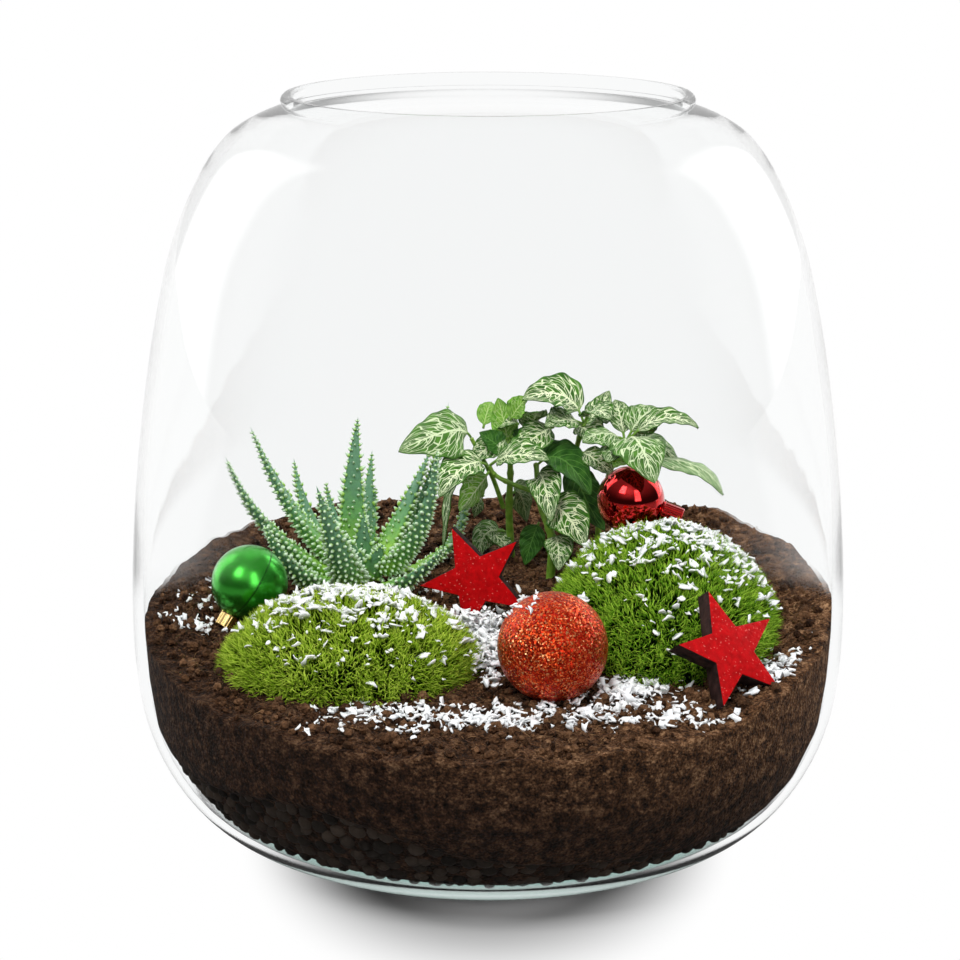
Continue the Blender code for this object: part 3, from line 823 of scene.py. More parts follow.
def along_line(values, share):
    """Values at a share of the way along a line of stations."""
    place = np.clip(share, 0, 1) * (len(values) - 1)
    low = np.minimum(place.astype(int), len(values) - 2)
    part = (place - low).reshape(-1, *[1] * (np.ndim(values) - 1))
    return values[low] * (1 - part) + values[low + 1] * part


def aloe_section(angle):
    rounded = np.where(np.sin(angle) > 0, 0.30, 0.86)
    return np.cos(angle), np.sin(angle) * rounded + 0.10 * np.cos(angle)**2


WART_GAP = 2.05 * MM
WART_RADIUS = 0.66 * MM
wart_ball = template(bpy.ops.mesh.primitive_uv_sphere_add, segments=6, ring_count=5, radius=1)
wart = corners_of(wart_ball)
rising = np.maximum(wart[:, 2], 0)
wart[:, :2] *= (1.12 - 0.45 * rising)[:, None]
wart[:, 2] = np.where(wart[:, 2] > 0, rising * 2.5, wart[:, 2] * 0.5)
wart_groups = faces_of(wart_ball)


def aloe_leaf(name, line, number):
    """One leaf with its warts; the leaf hides its foot in the heart of the rosette."""
    centres, halves, sideways, upper = line
    centres = resample(centres, LEAF_RINGS)
    halves = np.maximum(resample(halves, LEAF_RINGS), 0)
    sideways, upper = unit(resample(sideways, LEAF_RINGS)), unit(resample(upper, LEAF_RINGS))
    share = np.linspace(0, 1, LEAF_RINGS)
    broad = halves.max()
    fuller = broad * 1.32 * np.minimum(1, 0.84 + share * 1.2) * (1 - share**1.75)
    wide, high = aloe_section(aloe_angle)
    across, above = along_line(sideways, aloe_share), along_line(upper, aloe_share)
    half = (along_line(fuller, aloe_share) * np.minimum(1, aloe_share * 40))[:, None]
    corners = along_line(centres, aloe_share) + half * (across * wide[:, None] + above * high[:, None])
    uv = np.c_[wide * 0.5 + 0.5, aloe_share]
    source = np.random.default_rng(number)
    spots, fronts, sizes = [], [], []
    length = np.linalg.norm(np.diff(centres, axis=0), axis=1).sum()
    place = 0.03
    row = 0
    while place < 0.975:
        index = place * (LEAF_RINGS - 1)
        low = int(index)
        half = fuller[low] + (fuller[low + 1] - fuller[low]) * (index - low)
        middle = centres[low] + (centres[low + 1] - centres[low]) * (index - low)
        ahead = unit(centres[low + 1] - centres[low])
        scale = 0.5 + 0.5 * min(1, half / (2.6 * MM))
        around = max(4, int(half * 3.9 / (WART_GAP * scale)))
        for step in range(around):
            angle = -math.pi * 1.12 + math.pi * 1.24 * (step + 0.5 * (row % 2) + source.uniform(-0.1, 0.1)) / around
            wide, high = aloe_section(np.array(angle))
            out_here = source.uniform(0.75, 1.15)
            normal = unit(sideways[low] * math.cos(angle) + upper[low] * math.sin(angle) * 1.15)
            margin = abs(wide) > 0.93
            spots.append(middle + sideways[low] * wide * half + upper[low] * high * half)
            fronts.append(unit(normal + ahead * (0.7 if margin else 0.45)))
            sizes.append(WART_RADIUS * scale * out_here * (1.3 if margin else 1))
        for step in range(int(around / 3)):
            wide = source.uniform(-0.75, 0.75)
            spots.append(middle + sideways[low] * wide * half + upper[low] * half * 0.34)
            fronts.append(unit(upper[low] + ahead * 0.5))
            sizes.append(WART_RADIUS * scale * source.uniform(0.5, 0.85))
        place += WART_GAP * 1.12 * scale / length
        row += 1
    spots, fronts, sizes = np.array(spots), np.array(fronts), np.array(sizes)
    first = unit(np.cross(fronts, [0.3, 0.2, 1.0]))
    turns = np.stack([first, np.cross(fronts, first), fronts], axis=-1)
    offset = len(corners)
    placed = [scatter(wart, group, spots, turns, sizes) for group in wart_groups]
    tint = np.concatenate([np.zeros(offset), np.tile(wart[:, 2] * 0.4 + 0.4, len(spots))])
    uv = np.vstack([uv, np.zeros((len(placed[0][0]), 2))])
    return new_mesh(name, np.vstack([corners, placed[0][0]]),
                    [*aloe_faces, *(group + offset for _, group in placed)], uv=uv, tint=tint)


def aloe_finish():
    green = Finish("aloe_skin", Roughness=0.45, Specular_IOR_Level=0.3)
    _, along = green.uv()
    mottled = green.noise(420, 4)
    body = green.ramp(along * 0.75 + mottled * 0.3, (0.16, (0.32, 0.58, 0.07)), (0.38, (0.150, 0.37, 0.110)),
                      (0.58, (0.130, 0.29, 0.165)), (0.85, (0.17, 0.34, 0.205)), (1.0, (0.25, 0.38, 0.20)))
    wart_mask = green.tint().step(0.30, 1.15)
    colour = green.mix(wart_mask, body, (0.66, 0.83, 0.62))
    return green.give(Base_Color=colour, Normal=green.bump(mottled, 0.0003))


aloe_skin = aloe_finish()
for number, node in enumerate(named("aloe_leaf"), start=1):
    leaf = aloe_leaf(node.replace("aloe_leaf", "aloe_blade"), leaf_line(node, core), number)
    finish_piece(leaf, aloe_skin, "aloe_leaf", node)


def straight_line(foot, tip, half, facing, droop=0.0):
    """A leaf's stations from a foot to a tip, for a small leaf that the frame doesn't have."""
    share = np.linspace(0, 1, 9)
    foot, tip = np.array(foot, float), np.array(tip, float)
    centres = foot + (tip - foot) * share[:, None] + [0, 0, 1] * (share * (1 - share) * droop)[:, None]
    ahead = unit(np.gradient(centres, axis=0))
    sideways = unit(np.cross(ahead, facing))
    return centres, half * np.sin(math.pi * np.clip(share, 0.08, 1)), sideways, np.cross(sideways, ahead)


# %% Heart of the aloe
HEART = (((0, 0, 0), (4.2, 24.8, 23.7), 2.6), ((1, -2, -3), (-5, -9, 15), 3.0), ((2, -3, -3), (8, -9, 12), 3.0),
         ((0, 0, -2), (1, -3, 22), 3.2), ((0, 2, -2), (-7, 4, 19), 3.0))
for number, (foot, tip, half) in enumerate(HEART, start=1):
    line = straight_line(core + np.array(foot) * MM, core + np.array(tip) * MM, half * MM, (0, -1, 0.3))
    finish_piece(aloe_leaf(f"aloe_heart_leaf_{number}", line, 20 + number), aloe_skin, "aloe_leaf",
                 *(["aloe_core"] if number == 2 else []))

# %% [markdown]
# ## The fittonia
# Its thin oval leaves are dark green with a net of white veins. The leaf is a grid that is laid on the
# frame's line, folded a little along its midrib and rippled at the edge. The veins are drawn in the
# material from the leaf's own UV map, so they follow every bend.

# %% Fittonia leaves
BLADE_ROWS, BLADE_COLUMNS = 48, 25
deselect()
bpy.ops.mesh.primitive_grid_add(x_subdivisions=BLADE_COLUMNS - 1, y_subdivisions=BLADE_ROWS - 1, size=2)
slab = bpy.context.active_object
wall = slab.modifiers.new("wall", "SOLIDIFY")
wall.thickness = 0.02
bpy.ops.object.modifier_apply(modifier="wall")
slab_faces, slab_corners = faces_of(slab.data), corners_of(slab.data)
bpy.data.objects.remove(slab)
slab_under = slab_corners[:, 2] < slab_corners[:, 2].mean()
slab_share, slab_across = np.clip(slab_corners[:, 1] * 0.5 + 0.5, 0, 1), np.clip(slab_corners[:, 0], -1, 1)
stem_corners = np.vstack([solid(node)[0] for node in named("fittonia_shoot")])


def fittonia_leaf(name, line, number, petiole=0.16):
    """A thin folded blade on its stalk, closed all round."""
    centres, halves, sideways, upper = line
    centres = resample(centres, BLADE_ROWS)
    sideways, upper = unit(resample(sideways, BLADE_ROWS)), unit(resample(upper, BLADE_ROWS))
    broad = halves.max() * 1.45
    share, across = slab_share, slab_across
    run = np.clip((share - petiole) / (1 - petiole), 0, 1)
    oval = broad * np.maximum(0, np.sin(math.pi * run**0.70))**0.78
    stalk = 0.45 * MM
    source = np.random.default_rng(number)
    fold = source.uniform(0.10, 0.26)
    phase = source.uniform(0, 6)
    flat = np.clip(oval / broad, 0, 1)
    edge = np.abs(across)
    ripple = (np.sin(share * 34 + phase + np.sign(across) * 1.3) * 0.06 * edge**2
              + np.sin(share * 13 + phase) * 0.07 * edge**1.5)
    quilt = 0.045 * np.abs(np.sin((share * 11 - edge * 2.2) * math.pi))**0.7
    lift = broad * flat * (fold * edge**1.3 + ripple - quilt * (1 - across**4))
    thick = np.maximum(0.14 * MM, stalk * np.sqrt(np.maximum(0, 1 - across**2)) * (1 - flat**0.35))
    below = thick + stalk * (1 - edge)**6 * 0.5
    width = np.maximum(oval, stalk * (1 - run**6)) * across
    height = lift + np.where(slab_under, -below, thick)
    corners = (along_line(centres, share) + along_line(sideways, share) * width[:, None]
               + along_line(upper, share) * height[:, None])
    uv = np.c_[across * 0.5 + 0.5, (share - petiole) / (1 - petiole)]
    return new_mesh(name, corners, slab_faces, uv=uv, tint=slab_under.astype(float))


def fittonia_finish(name, dark, light, vein, net, seed):
    """A leaf with a midrib, side veins that fork into a net, and a paler underside."""
    leaf = Finish(name, Roughness=0.42, Specular_IOR_Level=0.3)
    across, along = leaf.uv()
    side = across * 2 - 1
    aside = side.absolute()
    where = leaf.add("ShaderNodeCombineXYZ", None, across, along * 1.6, seed)
    wobble = leaf.noise(6, 2, where) - 0.5
    slant = along - aside ** 1.25 * 0.36 + wobble * 0.05
    midrib = aside.step(0.060, 0.025) * along.step(1.0, 0.9)
    pairs = slant * 7 + side.step(-0.01, 0.01) * 0.5
    main = (pairs.maths("PINGPONG", pairs, 0.5) + aside * 0.05).step(0.095, 0.050)
    net_place = leaf.add("ShaderNodeCombineXYZ", None, slant * 12, side * 2.5, seed)
    branches = leaf.cells(1, "DISTANCE_TO_EDGE", net_place).step(0.058, 0.026)
    veins = midrib.most(main).most(branches * net) * aside.step(0.97, 0.86)
    green = leaf.mix(leaf.noise(4, 3, where).step(0.35, 0.65), dark, light)
    upper = leaf.mix(veins, green, vein)
    under = leaf.mix(veins * 0.92, leaf.mix(0.14, green, (0.20, 0.36, 0.10)), (0.72, 0.82, 0.52))
    stalk = along.step(0.03, -0.01)
    colour = leaf.mix(leaf.tint().step(0.4, 0.6), upper, under)
    colour = leaf.mix(stalk, colour, (0.20, 0.38, 0.06))
    return leaf.give(Base_Color=colour, Normal=leaf.bump(1 - veins, 0.0004, 0.6))


DARK, LIGHT, WHITE = (0.020, 0.085, 0.006), (0.065, 0.205, 0.014), (0.84, 0.91, 0.60)
# The plain finish is a darker copy of the leaf with dim veins, for leaves that sit in shade: painted shade.
finishes = {
    "veined": fittonia_finish("fittonia_veined", DARK, LIGHT, WHITE, 0.95, 1.0),
    "plain": fittonia_finish("fittonia_shaded_dark", (0.016, 0.075, 0.009), (0.05, 0.16, 0.02), (0.11, 0.27, 0.05), 0.1, 2.0),
    "young": fittonia_finish("fittonia_young", (0.10, 0.30, 0.02), (0.20, 0.44, 0.04), (0.56, 0.74, 0.28), 0.6, 3.0),
    "pale": fittonia_finish("fittonia_pale", (0.11, 0.22, 0.08), (0.24, 0.38, 0.17), (0.68, 0.79, 0.56), 0.9, 4.0),
}
kinds = {"03": "young", "04": "plain", "05": "plain", "09": "young", "12": "plain", "14": "pale", "16": "plain",
         "17": "veined", "27": "pale"}
for number, node in enumerate(named("fittonia_leaf"), start=1):
    ends = leaf_line(node, np.zeros(3))[0][[0, -1]]
    gaps = [np.linalg.norm(stem_corners - end, axis=1).min() for end in ends]
    line = leaf_line(node, ends[int(np.argmin(gaps))])
    leaf = fittonia_leaf(node.replace("fittonia_leaf", "fittonia_blade"), line, number)
    finish_piece(leaf, finishes[kinds.get(node[-2:], "veined")], "fittonia_leaf", node)

# %% [markdown]
# The frame holds the leaves that matter most for its shape. The smaller ones that fill the crown are
# added here, each from a foot to a tip measured from the middle of the stems.

# %% Small leaves that fill the crown
crown = (stem_corners.min(axis=0) + stem_corners.max(axis=0)) / 2
FILLING = (
    ((-10.4, -4.5, 27.8), (-19.0, 1.5, 24.7), 3.4, "veined"), ((-13.5, -4.5, 29.0), (-7.3, -6.5, 37.2), 4.2, "young"),
    ((11.4, -6.5, 18.1), (22.6, -12.5, 11.2), 5.0, "veined"), ((-23.0, 11.5, -2.9), (-26.3, 15.5, -12.3), 3.0, "veined"),
    ((18.5, -0.5, 11.2), (28.2, -4.5, 13.1), 4.2, "young"), ((-23.0, -0.5, 25.2), (-20.2, 7.5, 32.8), 3.6, "young"),
    ((-21.4, 7.5, -15.2), (-12.6, -2.5, -20.7), 3.6, "veined"), ((-3.0, -4.5, -8.4), (-8.1, -6.5, -23.9), 4.6, "plain"),
    ((2.0, -2.0, 26.0), (-11.0, -12.0, 19.0), 6.4, "veined"), ((8.0, -1.0, 27.5), (1.0, -11.0, 30.0), 5.6, "veined"),
    ((10.0, 0.0, 26.0), (19.0, -9.0, 22.0), 6.0, "veined"), ((-14.0, -2.0, 22.0), (-27.0, -8.0, 15.0), 5.6, "veined"),
    ((-2.0, 2.0, 20.0), (6.0, -7.0, 10.0), 5.6, "plain"), ((14.0, 4.0, 28.0), (27.0, 2.0, 29.0), 5.2, "veined"),
    ((-6.0, 2.0, 24.0), (-4.0, -8.0, 33.0), 5.4, "veined"))
for number, (foot, tip, half, kind) in enumerate(FILLING, start=1):
    foot, tip = crown + np.array(foot) * MM, crown + np.array(tip) * MM
    line = straight_line(foot, tip, half / 1.45 * MM, (0.1, -0.6, 0.8), 5 * MM)
    leaf = fittonia_leaf(f"fittonia_filling_{number:02d}", line, 40 + number, petiole=0.10)
    finish_piece(leaf, finishes[kind], "fittonia_leaf")


# %% Fittonia stems
def stem_finish():
    stem = Finish("fittonia_stem", Roughness=0.4)
    streak = stem.noise(300, 3)
    return stem.give(Base_Color=stem.ramp(streak, (0.3, (0.12, 0.28, 0.02)), (0.7, (0.30, 0.50, 0.07))),
                     Normal=stem.bump(streak, 0.0003))


def stem(node):
    """A fine round stem on the frame's line, swollen where the leaves grow."""
    layers = rings(node, np.array([*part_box(node)[0][:2], 0]))
    if layers[0][0][2] > layers[-1][0][2]:
        layers = layers[::-1]
    centres = np.array([layer.mean(axis=0) for layer in layers])
    radii = np.array([np.linalg.norm(layer - layer.mean(axis=0), axis=1).mean() for layer in layers])
    radii[0], radii[-1] = radii[1], radii[-2] * 0.8
    rows = 60
    centres, radii = resample(centres, rows), resample(radii, rows)
    ahead = unit(np.gradient(centres, axis=0))
    aside = unit(np.cross(ahead, [0.0, 1.0, 0.1]))
    above = np.cross(aside, ahead)
    nodes_along = 1 + 0.28 * np.exp(-((np.linspace(0, 1, rows)[:, None] - [0.42, 0.7, 0.97]) / 0.025)**2).sum(axis=1)
    radii = radii * nodes_along
    half = (along_line(radii, stem_share) * np.minimum(1, np.minimum(stem_share, 1 - stem_share) * 60))[:, None]
    corners = along_line(centres, stem_share) + half * (
        along_line(aside, stem_share) * np.cos(stem_angle)[:, None]
        + along_line(above, stem_share) * np.sin(stem_angle)[:, None])
    uv = np.c_[stem_angle / math.tau, stem_share]
    return new_mesh(node.replace("shoot", "stem"), corners, stem_faces, uv=uv)


stem_faces, stem_share, stem_angle = ball_grid(14, 60)
stem_green = stem_finish()
for node in named("fittonia_shoot"):
    finish_piece(stem(node), stem_green, "fittonia_stem", node)

# %% [markdown]
# ## Ornaments
# Three baubles and two sawn stars. Balls are turned smooth; what tells them apart is the finish: satin
# green, mirror red, and red glitter whose grains each face their own way.


# %% Balls
def ball(name, node, rows=64):
    low, high = (np.array(corner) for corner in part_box(node))
    radius = float((high - low)[2] / 2)
    deselect()
    bpy.ops.mesh.primitive_uv_sphere_add(segments=rows * 2, ring_count=rows, radius=radius,
                                         location=(low + high) / 2)
    made = bpy.context.active_object
    made.name = name
    bpy.ops.object.transform_apply(location=True, rotation=True, scale=True)
    made.data.shade_smooth()
    return made, (low + high) / 2, radius


def satin_finish(centre):
    satin = Finish("satin_green", Metallic=0.9, Coat_Weight=0.5, Coat_Roughness=0.25)
    away = satin.add("ShaderNodeVectorMath", {"operation": "SUBTRACT"}, satin.place(), tuple(centre))
    plane = satin.add("ShaderNodeVectorMath", {"operation": "DOT_PRODUCT"}, away, (0.80, 0.15, -0.58), out="Value")
    seam = plane.absolute().step(0.00028, 0.00008)
    wear = satin.noise(900, 3)
    return satin.give(Base_Color=satin.mix(seam * 0.7, (0.048, 0.50, 0.034), (0.01, 0.10, 0.01)),
                      Roughness=0.22 + wear * 0.06, Normal=satin.bump(1 - seam, 0.0006))


def mirror_finish():
    mirror = Finish("mirror_red", Roughness=0.04, Metallic=1.0, Coat_Weight=0.6, Coat_Roughness=0.03)
    return mirror.give(Base_Color=mirror.mix(mirror.noise(40, 2) * 0.2, (0.72, 0.008, 0.008), (0.55, 0.0, 0.0)),
                       Normal=mirror.bump(mirror.noise(90, 2), 0.0002, 0.3))


def glitter_finish():
    glitter = Finish("glitter_red", Roughness=0.32, Metallic=0.85, Specular_IOR_Level=0.2)
    grain = glitter.cells(2300, out="Color")
    shade = glitter.split(grain)
    # Each grain takes a random tone of red; the palest orange grains at the top of the ramp are painted glints.
    colour = glitter.ramp(shade[0], (0.0, (0.24, 0.004, 0.002)), (0.5, (0.68, 0.028, 0.007)),
                          (0.85, (1.0, 0.15, 0.03)), (0.98, (1.0, 0.50, 0.22)))
    normal = glitter.add("ShaderNodeNewGeometry", out="Normal")
    tilt = glitter.add("ShaderNodeVectorMath", {"operation": "SUBTRACT"}, grain, (0.5, 0.5, 0.5))
    scaled = glitter.add("ShaderNodeVectorMath", {"operation": "SCALE"}, tilt, Scale=0.85)
    facet = glitter.add("ShaderNodeVectorMath", {"operation": "ADD"}, normal, scaled)
    facing = glitter.add("ShaderNodeVectorMath", {"operation": "NORMALIZE"}, facet)
    return glitter.give(Base_Color=colour, Normal=facing)


satin_ball, satin_centre, _ = ball("satin_bauble", "satin_ball")
finish_piece(satin_ball, satin_finish(satin_centre), "green_satin", "satin_ball")
mirror_ball, mirror_centre, _ = ball("mirror_bauble", "mirror_ball")
mirror_red = mirror_finish()
finish_piece(mirror_ball, mirror_red, "red_mirror", "mirror_ball")
glitter_ball, _, _ = ball("glitter_bauble", "glitter_ball", 80)
finish_piece(glitter_ball, glitter_finish(), "red_glitter", "glitter_ball")


# %% Caps
CAP_SIDES = 48
CRIMP = 0.94


def cap(name, node, ball_centre, material, slot):
    """A crimped cup with a rolled edge, from where it meets the ball to its flat end."""
    points, _ = solid(node)
    middle = points.mean(axis=0)
    axis = unit(middle - ball_centre)
    reach = (points - ball_centre) @ axis
    radius = np.linalg.norm((points - middle) - ((points - middle) @ axis)[:, None] * axis, axis=1).max()
    start, end = reach.min() - 0.9 * MM, reach.max()
    turned = Vector(axis).to_track_quat("Z", "Y").to_euler()
    deselect()
    bpy.ops.mesh.primitive_torus_add(major_radius=radius, minor_radius=radius * 0.09, major_segments=48,
                                     minor_segments=10, location=ball_centre + axis * (start + 0.5 * MM),
                                     rotation=turned)
    lip = bpy.context.active_object
    bpy.ops.mesh.primitive_cylinder_add(vertices=CAP_SIDES, radius=radius * 0.97, depth=end - start,
                                        location=ball_centre + axis * (start + end) / 2, rotation=turned)
    made = bpy.context.active_object
    bpy.ops.object.transform_apply(location=True, rotation=True, scale=True)
    bpy.ops.object.mode_set(mode="EDIT")
    bpy.ops.mesh.select_all(action="DESELECT")
    bpy.ops.object.mode_set(mode="OBJECT")
    for face in made.data.polygons:
        face.select = Vector(axis).dot(face.normal) > 0.99
    bpy.ops.object.mode_set(mode="EDIT")
    bpy.ops.mesh.inset(thickness=radius * 0.12)
    bpy.ops.transform.translate(value=axis * 0.25 * MM)
    bpy.ops.mesh.inset(thickness=radius * 0.35)
    bpy.ops.transform.translate(value=axis * -0.3 * MM)
    bpy.ops.object.mode_set(mode="OBJECT")
    for corner in made.data.vertices:
        away = np.array(corner.co) - ball_centre
        flat = away - (away @ axis) * axis
        if np.linalg.norm(flat) > radius * 0.95 and corner.index % 3 == 0:
            corner.co = ball_centre + (away @ axis) * axis + flat * CRIMP
    lip.select_set(True)
    bpy.ops.object.join()
    bpy.ops.object.transform_apply(location=True, rotation=True, scale=True)
    made.name = name
    bpy.ops.object.shade_smooth_by_angle(angle=math.radians(35))
    finish_piece(made, material, slot, node)


def gold_finish():
    gold = Finish("gold_cap", Roughness=0.22, Metallic=1.0)
    return gold.give(Base_Color=gold.mix(gold.noise(500, 2), (0.86, 0.62, 0.27), (0.72, 0.47, 0.17)))


cap("satin_bauble_cap", "satin_cap", satin_centre, gold_finish(), "gold_cap")
cap("mirror_bauble_cap", "mirror_cap", mirror_centre, mirror_red, "red_mirror")


# %% [markdown]
# The stars are sawn from thin board and painted red on the face only, so the cut edges stay dark. A
# narrow bevel keeps the corners from looking like paper.

# %% Stars
def star_finish(facing):
    paint = Finish("star_paint", Roughness=0.5, Specular_IOR_Level=0.1)
    normal = paint.add("ShaderNodeNewGeometry", out="Normal")
    toward = paint.add("ShaderNodeVectorMath", {"operation": "DOT_PRODUCT"}, normal, tuple(facing), out="Value")
    face = toward.step(0.55, 0.75)
    wear = paint.noise(500, 5)
    sparkle = paint.cells(2600, out="Color")
    glint = paint.split(sparkle)[0].step(0.965, 0.99)
    red = paint.ramp(wear, (0.3, (0.33, 0.001, 0.002)), (0.65, (0.52, 0.002, 0.004)))
    red = paint.mix(glint * 0.28, red, (0.95, 0.35, 0.3))
    bark = paint.ramp(paint.noise(300, 4), (0.3, (0.010, 0.006, 0.006)), (0.7, (0.05, 0.025, 0.022)))
    return paint.give(Base_Color=paint.mix(face, bark, red), Normal=paint.bump(wear, 0.0003),
                      Roughness=0.75 - face * 0.33)


def star(name, node):
    points, faces = solid(node)
    normals = unit(np.cross(points[faces[:, 1]] - points[faces[:, 0]], points[faces[:, 2]] - points[faces[:, 0]]))
    areas = np.linalg.norm(np.cross(points[faces[:, 1]] - points[faces[:, 0]],
                                    points[faces[:, 2]] - points[faces[:, 0]]), axis=1)
    biggest = max(((areas[(normals @ normal) > 0.99].sum(), tuple(normal)) for normal in normals),
                  key=lambda item: (round(item[0], 6), -item[1][1]))
    facing = np.array(biggest[1])
    made = new_mesh(name, points, faces, smooth=False)
    deselect()
    bpy.context.view_layer.objects.active = made
    made.select_set(True)
    bpy.ops.object.mode_set(mode="EDIT")
    bpy.ops.mesh.select_all(action="SELECT")
    bpy.ops.mesh.dissolve_limited(angle_limit=math.radians(2))
    bpy.ops.object.mode_set(mode="OBJECT")
    rounding = made.modifiers.new("edges", "BEVEL")
    rounding.width = 0.35 * MM
    rounding.segments = 2
    rounding.limit_method = "ANGLE"
    bpy.ops.object.modifier_apply(modifier="edges")
    bpy.ops.object.shade_smooth_by_angle(angle=math.radians(40))
    finish_piece(made, star_finish(facing), "red_star", node)
    return facing


for side in ("left", "right"):
    print("star faces", star(f"painted_star_{side}", f"star_{side}").round(2))

# %% [markdown]
# ## Artificial snow
# Torn white flakes lie on the soil, on the moss and a few on the ball. One ragged flake is cut as a thin
# plate, and every copy gets its own corners, size and lean.

# %% Where the flakes lie
FLAKE_SIDES = 8


def on_soil(x, y, depth=0.6):
    return np.c_[x, y, soil_height(x, y) + depth * MM * rng.uniform(0, 1, len(x))]


def cloud(count, middle, spread, turn=0.0):
    """Places scattered round a middle, spread along and across a direction (mm)."""
    along, across = rng.normal(0, 1, (2, count)) * np.array(spread)[:, None] * MM / 1.5
    x = middle[0] * MM + along * math.cos(turn) - across * math.sin(turn)
    y = middle[1] * MM + along * math.sin(turn) + across * math.cos(turn)
    return x, y


def on_moss(node, count, middle, spread):
    """Places on a cushion, round a middle given as shares of its reach."""
    _, reach, _ = dome(node)
    a, b = rng.normal(0, 1, (2, count)) * np.array(spread)[:, None] + np.array(middle)[:, None]
    share = np.hypot(a, b)
    keep = share < 0.97
    points, normals = dome_point(node, share[keep], np.arctan2(b[keep], a[keep]))
    return points + normals * (2.0 * MM + rng.uniform(0, 1.0, keep.sum())[:, None] * MM)


ground_flakes = [on_soil(*cloud(count, middle, spread, turn), depth) for count, middle, spread, turn, depth in (
    (420, (0, -32), (6, 19), 0.0, 6.0), (460, (6, -84), (40, 7), 0.05, 1.6), (260, (46, -64), (14, 8), 0.5, 2.0),
    (130, (-30, -80), (20, 5), -0.1, 1.2), (190, (90, -52), (13, 9), 0.9, 1.6), (70, (62, -84), (16, 5), 0.3, 0.8),
    (60, (-100, -14), (9, 5), 0.2, 1.2), (70, (-90, 12), (14, 12), 0.6, 0.6), (80, (30, 0), (20, 14), 0.4, 0.8),
    (60, (-20, 20), (30, 20), 0.0, 0.5), (120, (-36, -4), (10, 5), 0.0, 5.0), (190, (-3, -21), (9, 3), 0.0, 10.0))]
moss_flakes = [on_moss("moss_left", 330, (0.05, 0.35), (0.45, 0.30)), on_moss("moss_left", 330, (0.15, -0.25), (0.5, 0.42)),
               on_moss("moss_right", 300, (0.45, 0.15), (0.28, 0.35)), on_moss("moss_right", 230, (0, -0.2), (0.5, 0.5)),
               on_moss("moss_right", 90, (-0.35, 0.3), (0.25, 0.25))]
low, high = (np.array(corner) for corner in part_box("glitter_ball"))
ball_turn, ball_share = rng.uniform(2.2, 4.0, 26), rng.uniform(0.3, 0.85, 26)
ball_way = np.c_[np.cos(ball_turn) * ball_share, np.sin(ball_turn) * ball_share, np.sqrt(1 - ball_share**2)]
ball_flakes = (low + high) / 2 + ball_way * ((high - low)[2] / 2 + 0.3 * MM)
flake_spots = np.vstack([*ground_flakes, *moss_flakes, ball_flakes])
reach_limit = inner_radius(flake_spots[:, 2]) - 3 * MM
flake_spots = flake_spots[np.hypot(flake_spots[:, 0], flake_spots[:, 1]) < reach_limit]
FLAKES = len(flake_spots)

# %% Cut the flakes
deselect()
bpy.ops.mesh.primitive_circle_add(vertices=FLAKE_SIDES, radius=1, fill_type="NGON")
plate = bpy.context.active_object
bpy.ops.object.mode_set(mode="EDIT")
bpy.ops.mesh.extrude_region_move(TRANSFORM_OT_translate={"value": (0, 0, 0.2)})
bpy.ops.mesh.select_all(action="SELECT")
bpy.ops.mesh.normals_make_consistent(inside=False)
bpy.ops.object.mode_set(mode="OBJECT")
plate_corners, plate_faces = corners_of(plate.data), faces_of(plate.data)
bpy.data.objects.remove(plate)
corner_turn = np.arctan2(plate_corners[:, 1], plate_corners[:, 0])
corner = np.round(corner_turn / math.tau * FLAKE_SIDES).astype(int) % FLAKE_SIDES
flake_turn = (np.arange(FLAKE_SIDES) / FLAKE_SIDES * math.tau)[None] + rng.uniform(-0.25, 0.25, (FLAKES, FLAKE_SIDES))
flake_reach = rng.uniform(0.35, 1.3, (FLAKES, FLAKE_SIDES))
flat = np.stack([np.cos(flake_turn) * flake_reach, np.sin(flake_turn) * flake_reach * 0.7,
                 rng.uniform(-0.22, 0.22, (FLAKES, FLAKE_SIDES))], axis=-1)
plates = flat[:, corner] + (plate_corners[:, 2] - 0.1)[None, :, None] * [0, 0, 1]
size = (0.6 + 2.1 * rng.uniform(0, 1, FLAKES)**1.6) * MM
lean = unit(rng.normal(0, 0.55, (FLAKES, 3)) + [0, 0, 1])
first = unit(np.cross(lean, rng.normal(size=(FLAKES, 3))))
flake_turns = np.stack([first, np.cross(lean, first), lean], axis=-1)
flake_corners = np.einsum("nij,nkj->nki", flake_turns, plates) * size[:, None, None] + flake_spots[:, None]
starts = (np.arange(FLAKES) * len(corner))[:, None, None]
snow = new_mesh("snow_flakes", flake_corners.reshape(-1, 3),
                [(group[None] + starts).reshape(-1, group.shape[1]) for group in plate_faces],
                tint=np.repeat(rng.uniform(0, 1, FLAKES), len(corner)), smooth=False)


def snow_finish():
    white = Finish("snow_white", Roughness=0.6)
    return white.give(Base_Color=white.mix(white.tint(), (0.90, 0.92, 0.94), (0.99, 0.99, 0.99)))


finish_piece(snow, snow_finish(), "snow", "snow_drift")

# %% [markdown]
# ## Studio
# The terrarium stands on a white floor that runs off into white. To the eye and through glass, the
# floor is as white as the sky except for the soft shadow under the object, which is partly the real shadow
# and partly painted shadow, a ring where the floor's own colour is darker. For light that bounces, it is a
# plain darker grey floor. Two tall soft boxes, one on each side and a little behind, draw the long
# highlights on the shoulders of the glass. They are painted on the sky, so that they have soft edges.

# %% Floor
SHADOW_REACH = (0.075, 0.130)
PAINTED_SHADOW_FROM = (0.062, 0.080)
deselect()
bpy.ops.mesh.primitive_plane_add(size=8, location=(0, 0, -0.0002))
floor = bpy.context.active_object
floor.name = "floor"
bpy.ops.object.transform_apply(location=True)


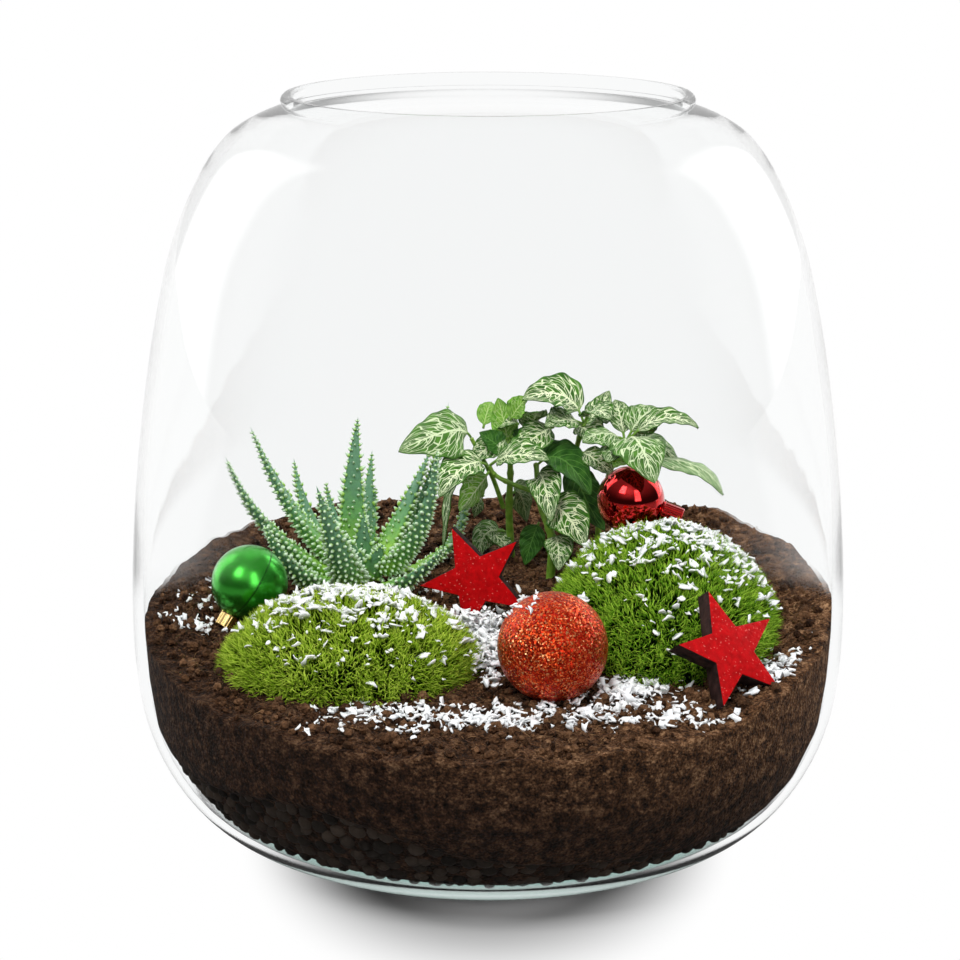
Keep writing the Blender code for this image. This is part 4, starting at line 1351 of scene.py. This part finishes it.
def floor_finish():
    ground = Finish("studio_floor", Roughness=0.9, Specular_IOR_Level=0.0)
    camera_ray, through_glass = ground.path("Is Camera Ray"), ground.path("Is Transmission Ray")
    across, deep, _ = ground.split(ground.place())
    away = (across * across * 2.4 + (deep + 0.02) * (deep + 0.02)) ** 0.5
    behind_it = ground.path("Is Glossy Ray") * deep.step(0.0, 0.12)
    white_here = (camera_ray * away.step(*SHADOW_REACH)).most(through_glass).most(behind_it)
    # Painted shadow: past a radius round the foot, the floor's colour drops from 0.96 to 0.37, and further out the
    # white takes over. Bounced rays see a darker 0.25 grey floor.
    painted_shadow_floor = ground.mix(away.step(*PAINTED_SHADOW_FROM), (0.96, 0.96, 0.96), (0.37, 0.37, 0.37))
    ground.give(Base_Color=ground.mix(camera_ray, (0.25, 0.25, 0.25), painted_shadow_floor))
    white = ground.add("ShaderNodeEmission", None, (1, 1, 1, 1), 1.0)
    plain = Wire(ground, ground.shader.outputs[0])
    mixed = ground.add("ShaderNodeMixShader", None, white_here, plain, white)
    ground.tree.links.new(mixed.socket, ground.surface)
    return ground.material


floor.data.materials.append(floor_finish())

# %% Camera
EYE = (0, -0.80, 0.3333)
TILT = math.radians(90 - 15.19)
camera_data = bpy.data.cameras.new("camera")
camera_data.sensor_width = 36
camera_data.lens = 2461.8 / 960 * 36
camera_data.shift_x = -8 / 960
camera = bpy.data.objects.new("camera", camera_data)
camera.location = EYE
camera.rotation_euler = (TILT, 0, 0)
bpy.context.scene.collection.objects.link(camera)
bpy.context.scene.camera = camera


# %% Lights
def soft_box(name, place, aim, width, height, power):
    """A rectangular lamp that lights, but isn't mirrored in the glass."""
    data = bpy.data.lights.new(name, "AREA")
    data.shape = "RECTANGLE"
    data.size, data.size_y = width, height
    data.energy = power
    lamp = bpy.data.objects.new(name, data)
    lamp.location = place
    lamp.rotation_euler = Vector(np.array(aim) - np.array(place)).to_track_quat("-Z", "Z").to_euler()
    lamp.visible_glossy = False
    lamp.visible_transmission = False
    bpy.context.scene.collection.objects.link(lamp)


soft_box("key_light", (-0.28, -0.62, 1.30), (0, 0, 0.08), 0.45, 0.45, 13)
soft_box("fill_light", (0.95, -0.55, 0.75), (0, 0, 0.08), 0.6, 0.6, 5)


# %% Sky
def patch(graph, turn, rise, turns, rises, edge=4):
    """1 inside a window of the sky given in degrees, 0 outside, with a soft edge."""
    sideways = turn.step(turns[0] - edge, turns[0] + edge) * turn.step(turns[1] + edge, turns[1] - edge)
    return sideways * rise.step(rises[0] - edge, rises[0] + edge) * rise.step(rises[1] + edge, rises[1] - edge)


world = bpy.data.worlds.new("studio")
bpy.context.scene.world = world
world.use_nodes = True
sky = Graph(world.node_tree)
right, back, up = sky.split(sky.add("ShaderNodeTexCoord", out="Generated"))
turn = sky.add("ShaderNodeMath", {"operation": "ARCTAN2"}, right, 0 - back) * (180 / math.pi)
rise = sky.add("ShaderNodeMath", {"operation": "ARCSINE"}, up) * (180 / math.pi)
boxes = patch(sky, turn, rise, (-143, -106), (-6, 52)) + patch(sky, turn, rise, (108, 148), (-4, 42))
behind = turn.absolute().step(120, 160)
windows = patch(sky, turn, rise, (-52, -27), (34, 58), 3) * 5.5 + patch(sky, turn, rise, (12, 33), (10, 47), 3) * 3.4
windows = windows + patch(sky, turn, rise, (-45, 10), (32, 56), 22) * 0.8
inside = sky.path("Transmission Depth").least(1)
mirrored = behind * 0.85 + (1 - behind) * (rise.step(8, 50) * 0.20 + 0.03) + boxes * 2.2 + windows
mirrored = inside * 0.90 + (1 - inside) * mirrored
lit = rise.step(-10, 45) * 0.60 + 0.18 + boxes * 0.9
seen = sky.path("Is Camera Ray").most(sky.path("Is Transmission Ray"))
bounce = sky.path("Is Glossy Ray")
strength = seen + (1 - seen) * (bounce * mirrored + (1 - bounce) * lit)
sky.plug(world.node_tree.nodes["Background"].inputs["Color"], (1, 1, 1, 1))
sky.plug(world.node_tree.nodes["Background"].inputs["Strength"], strength)
bpy.context.scene.view_settings.view_transform = "Standard"
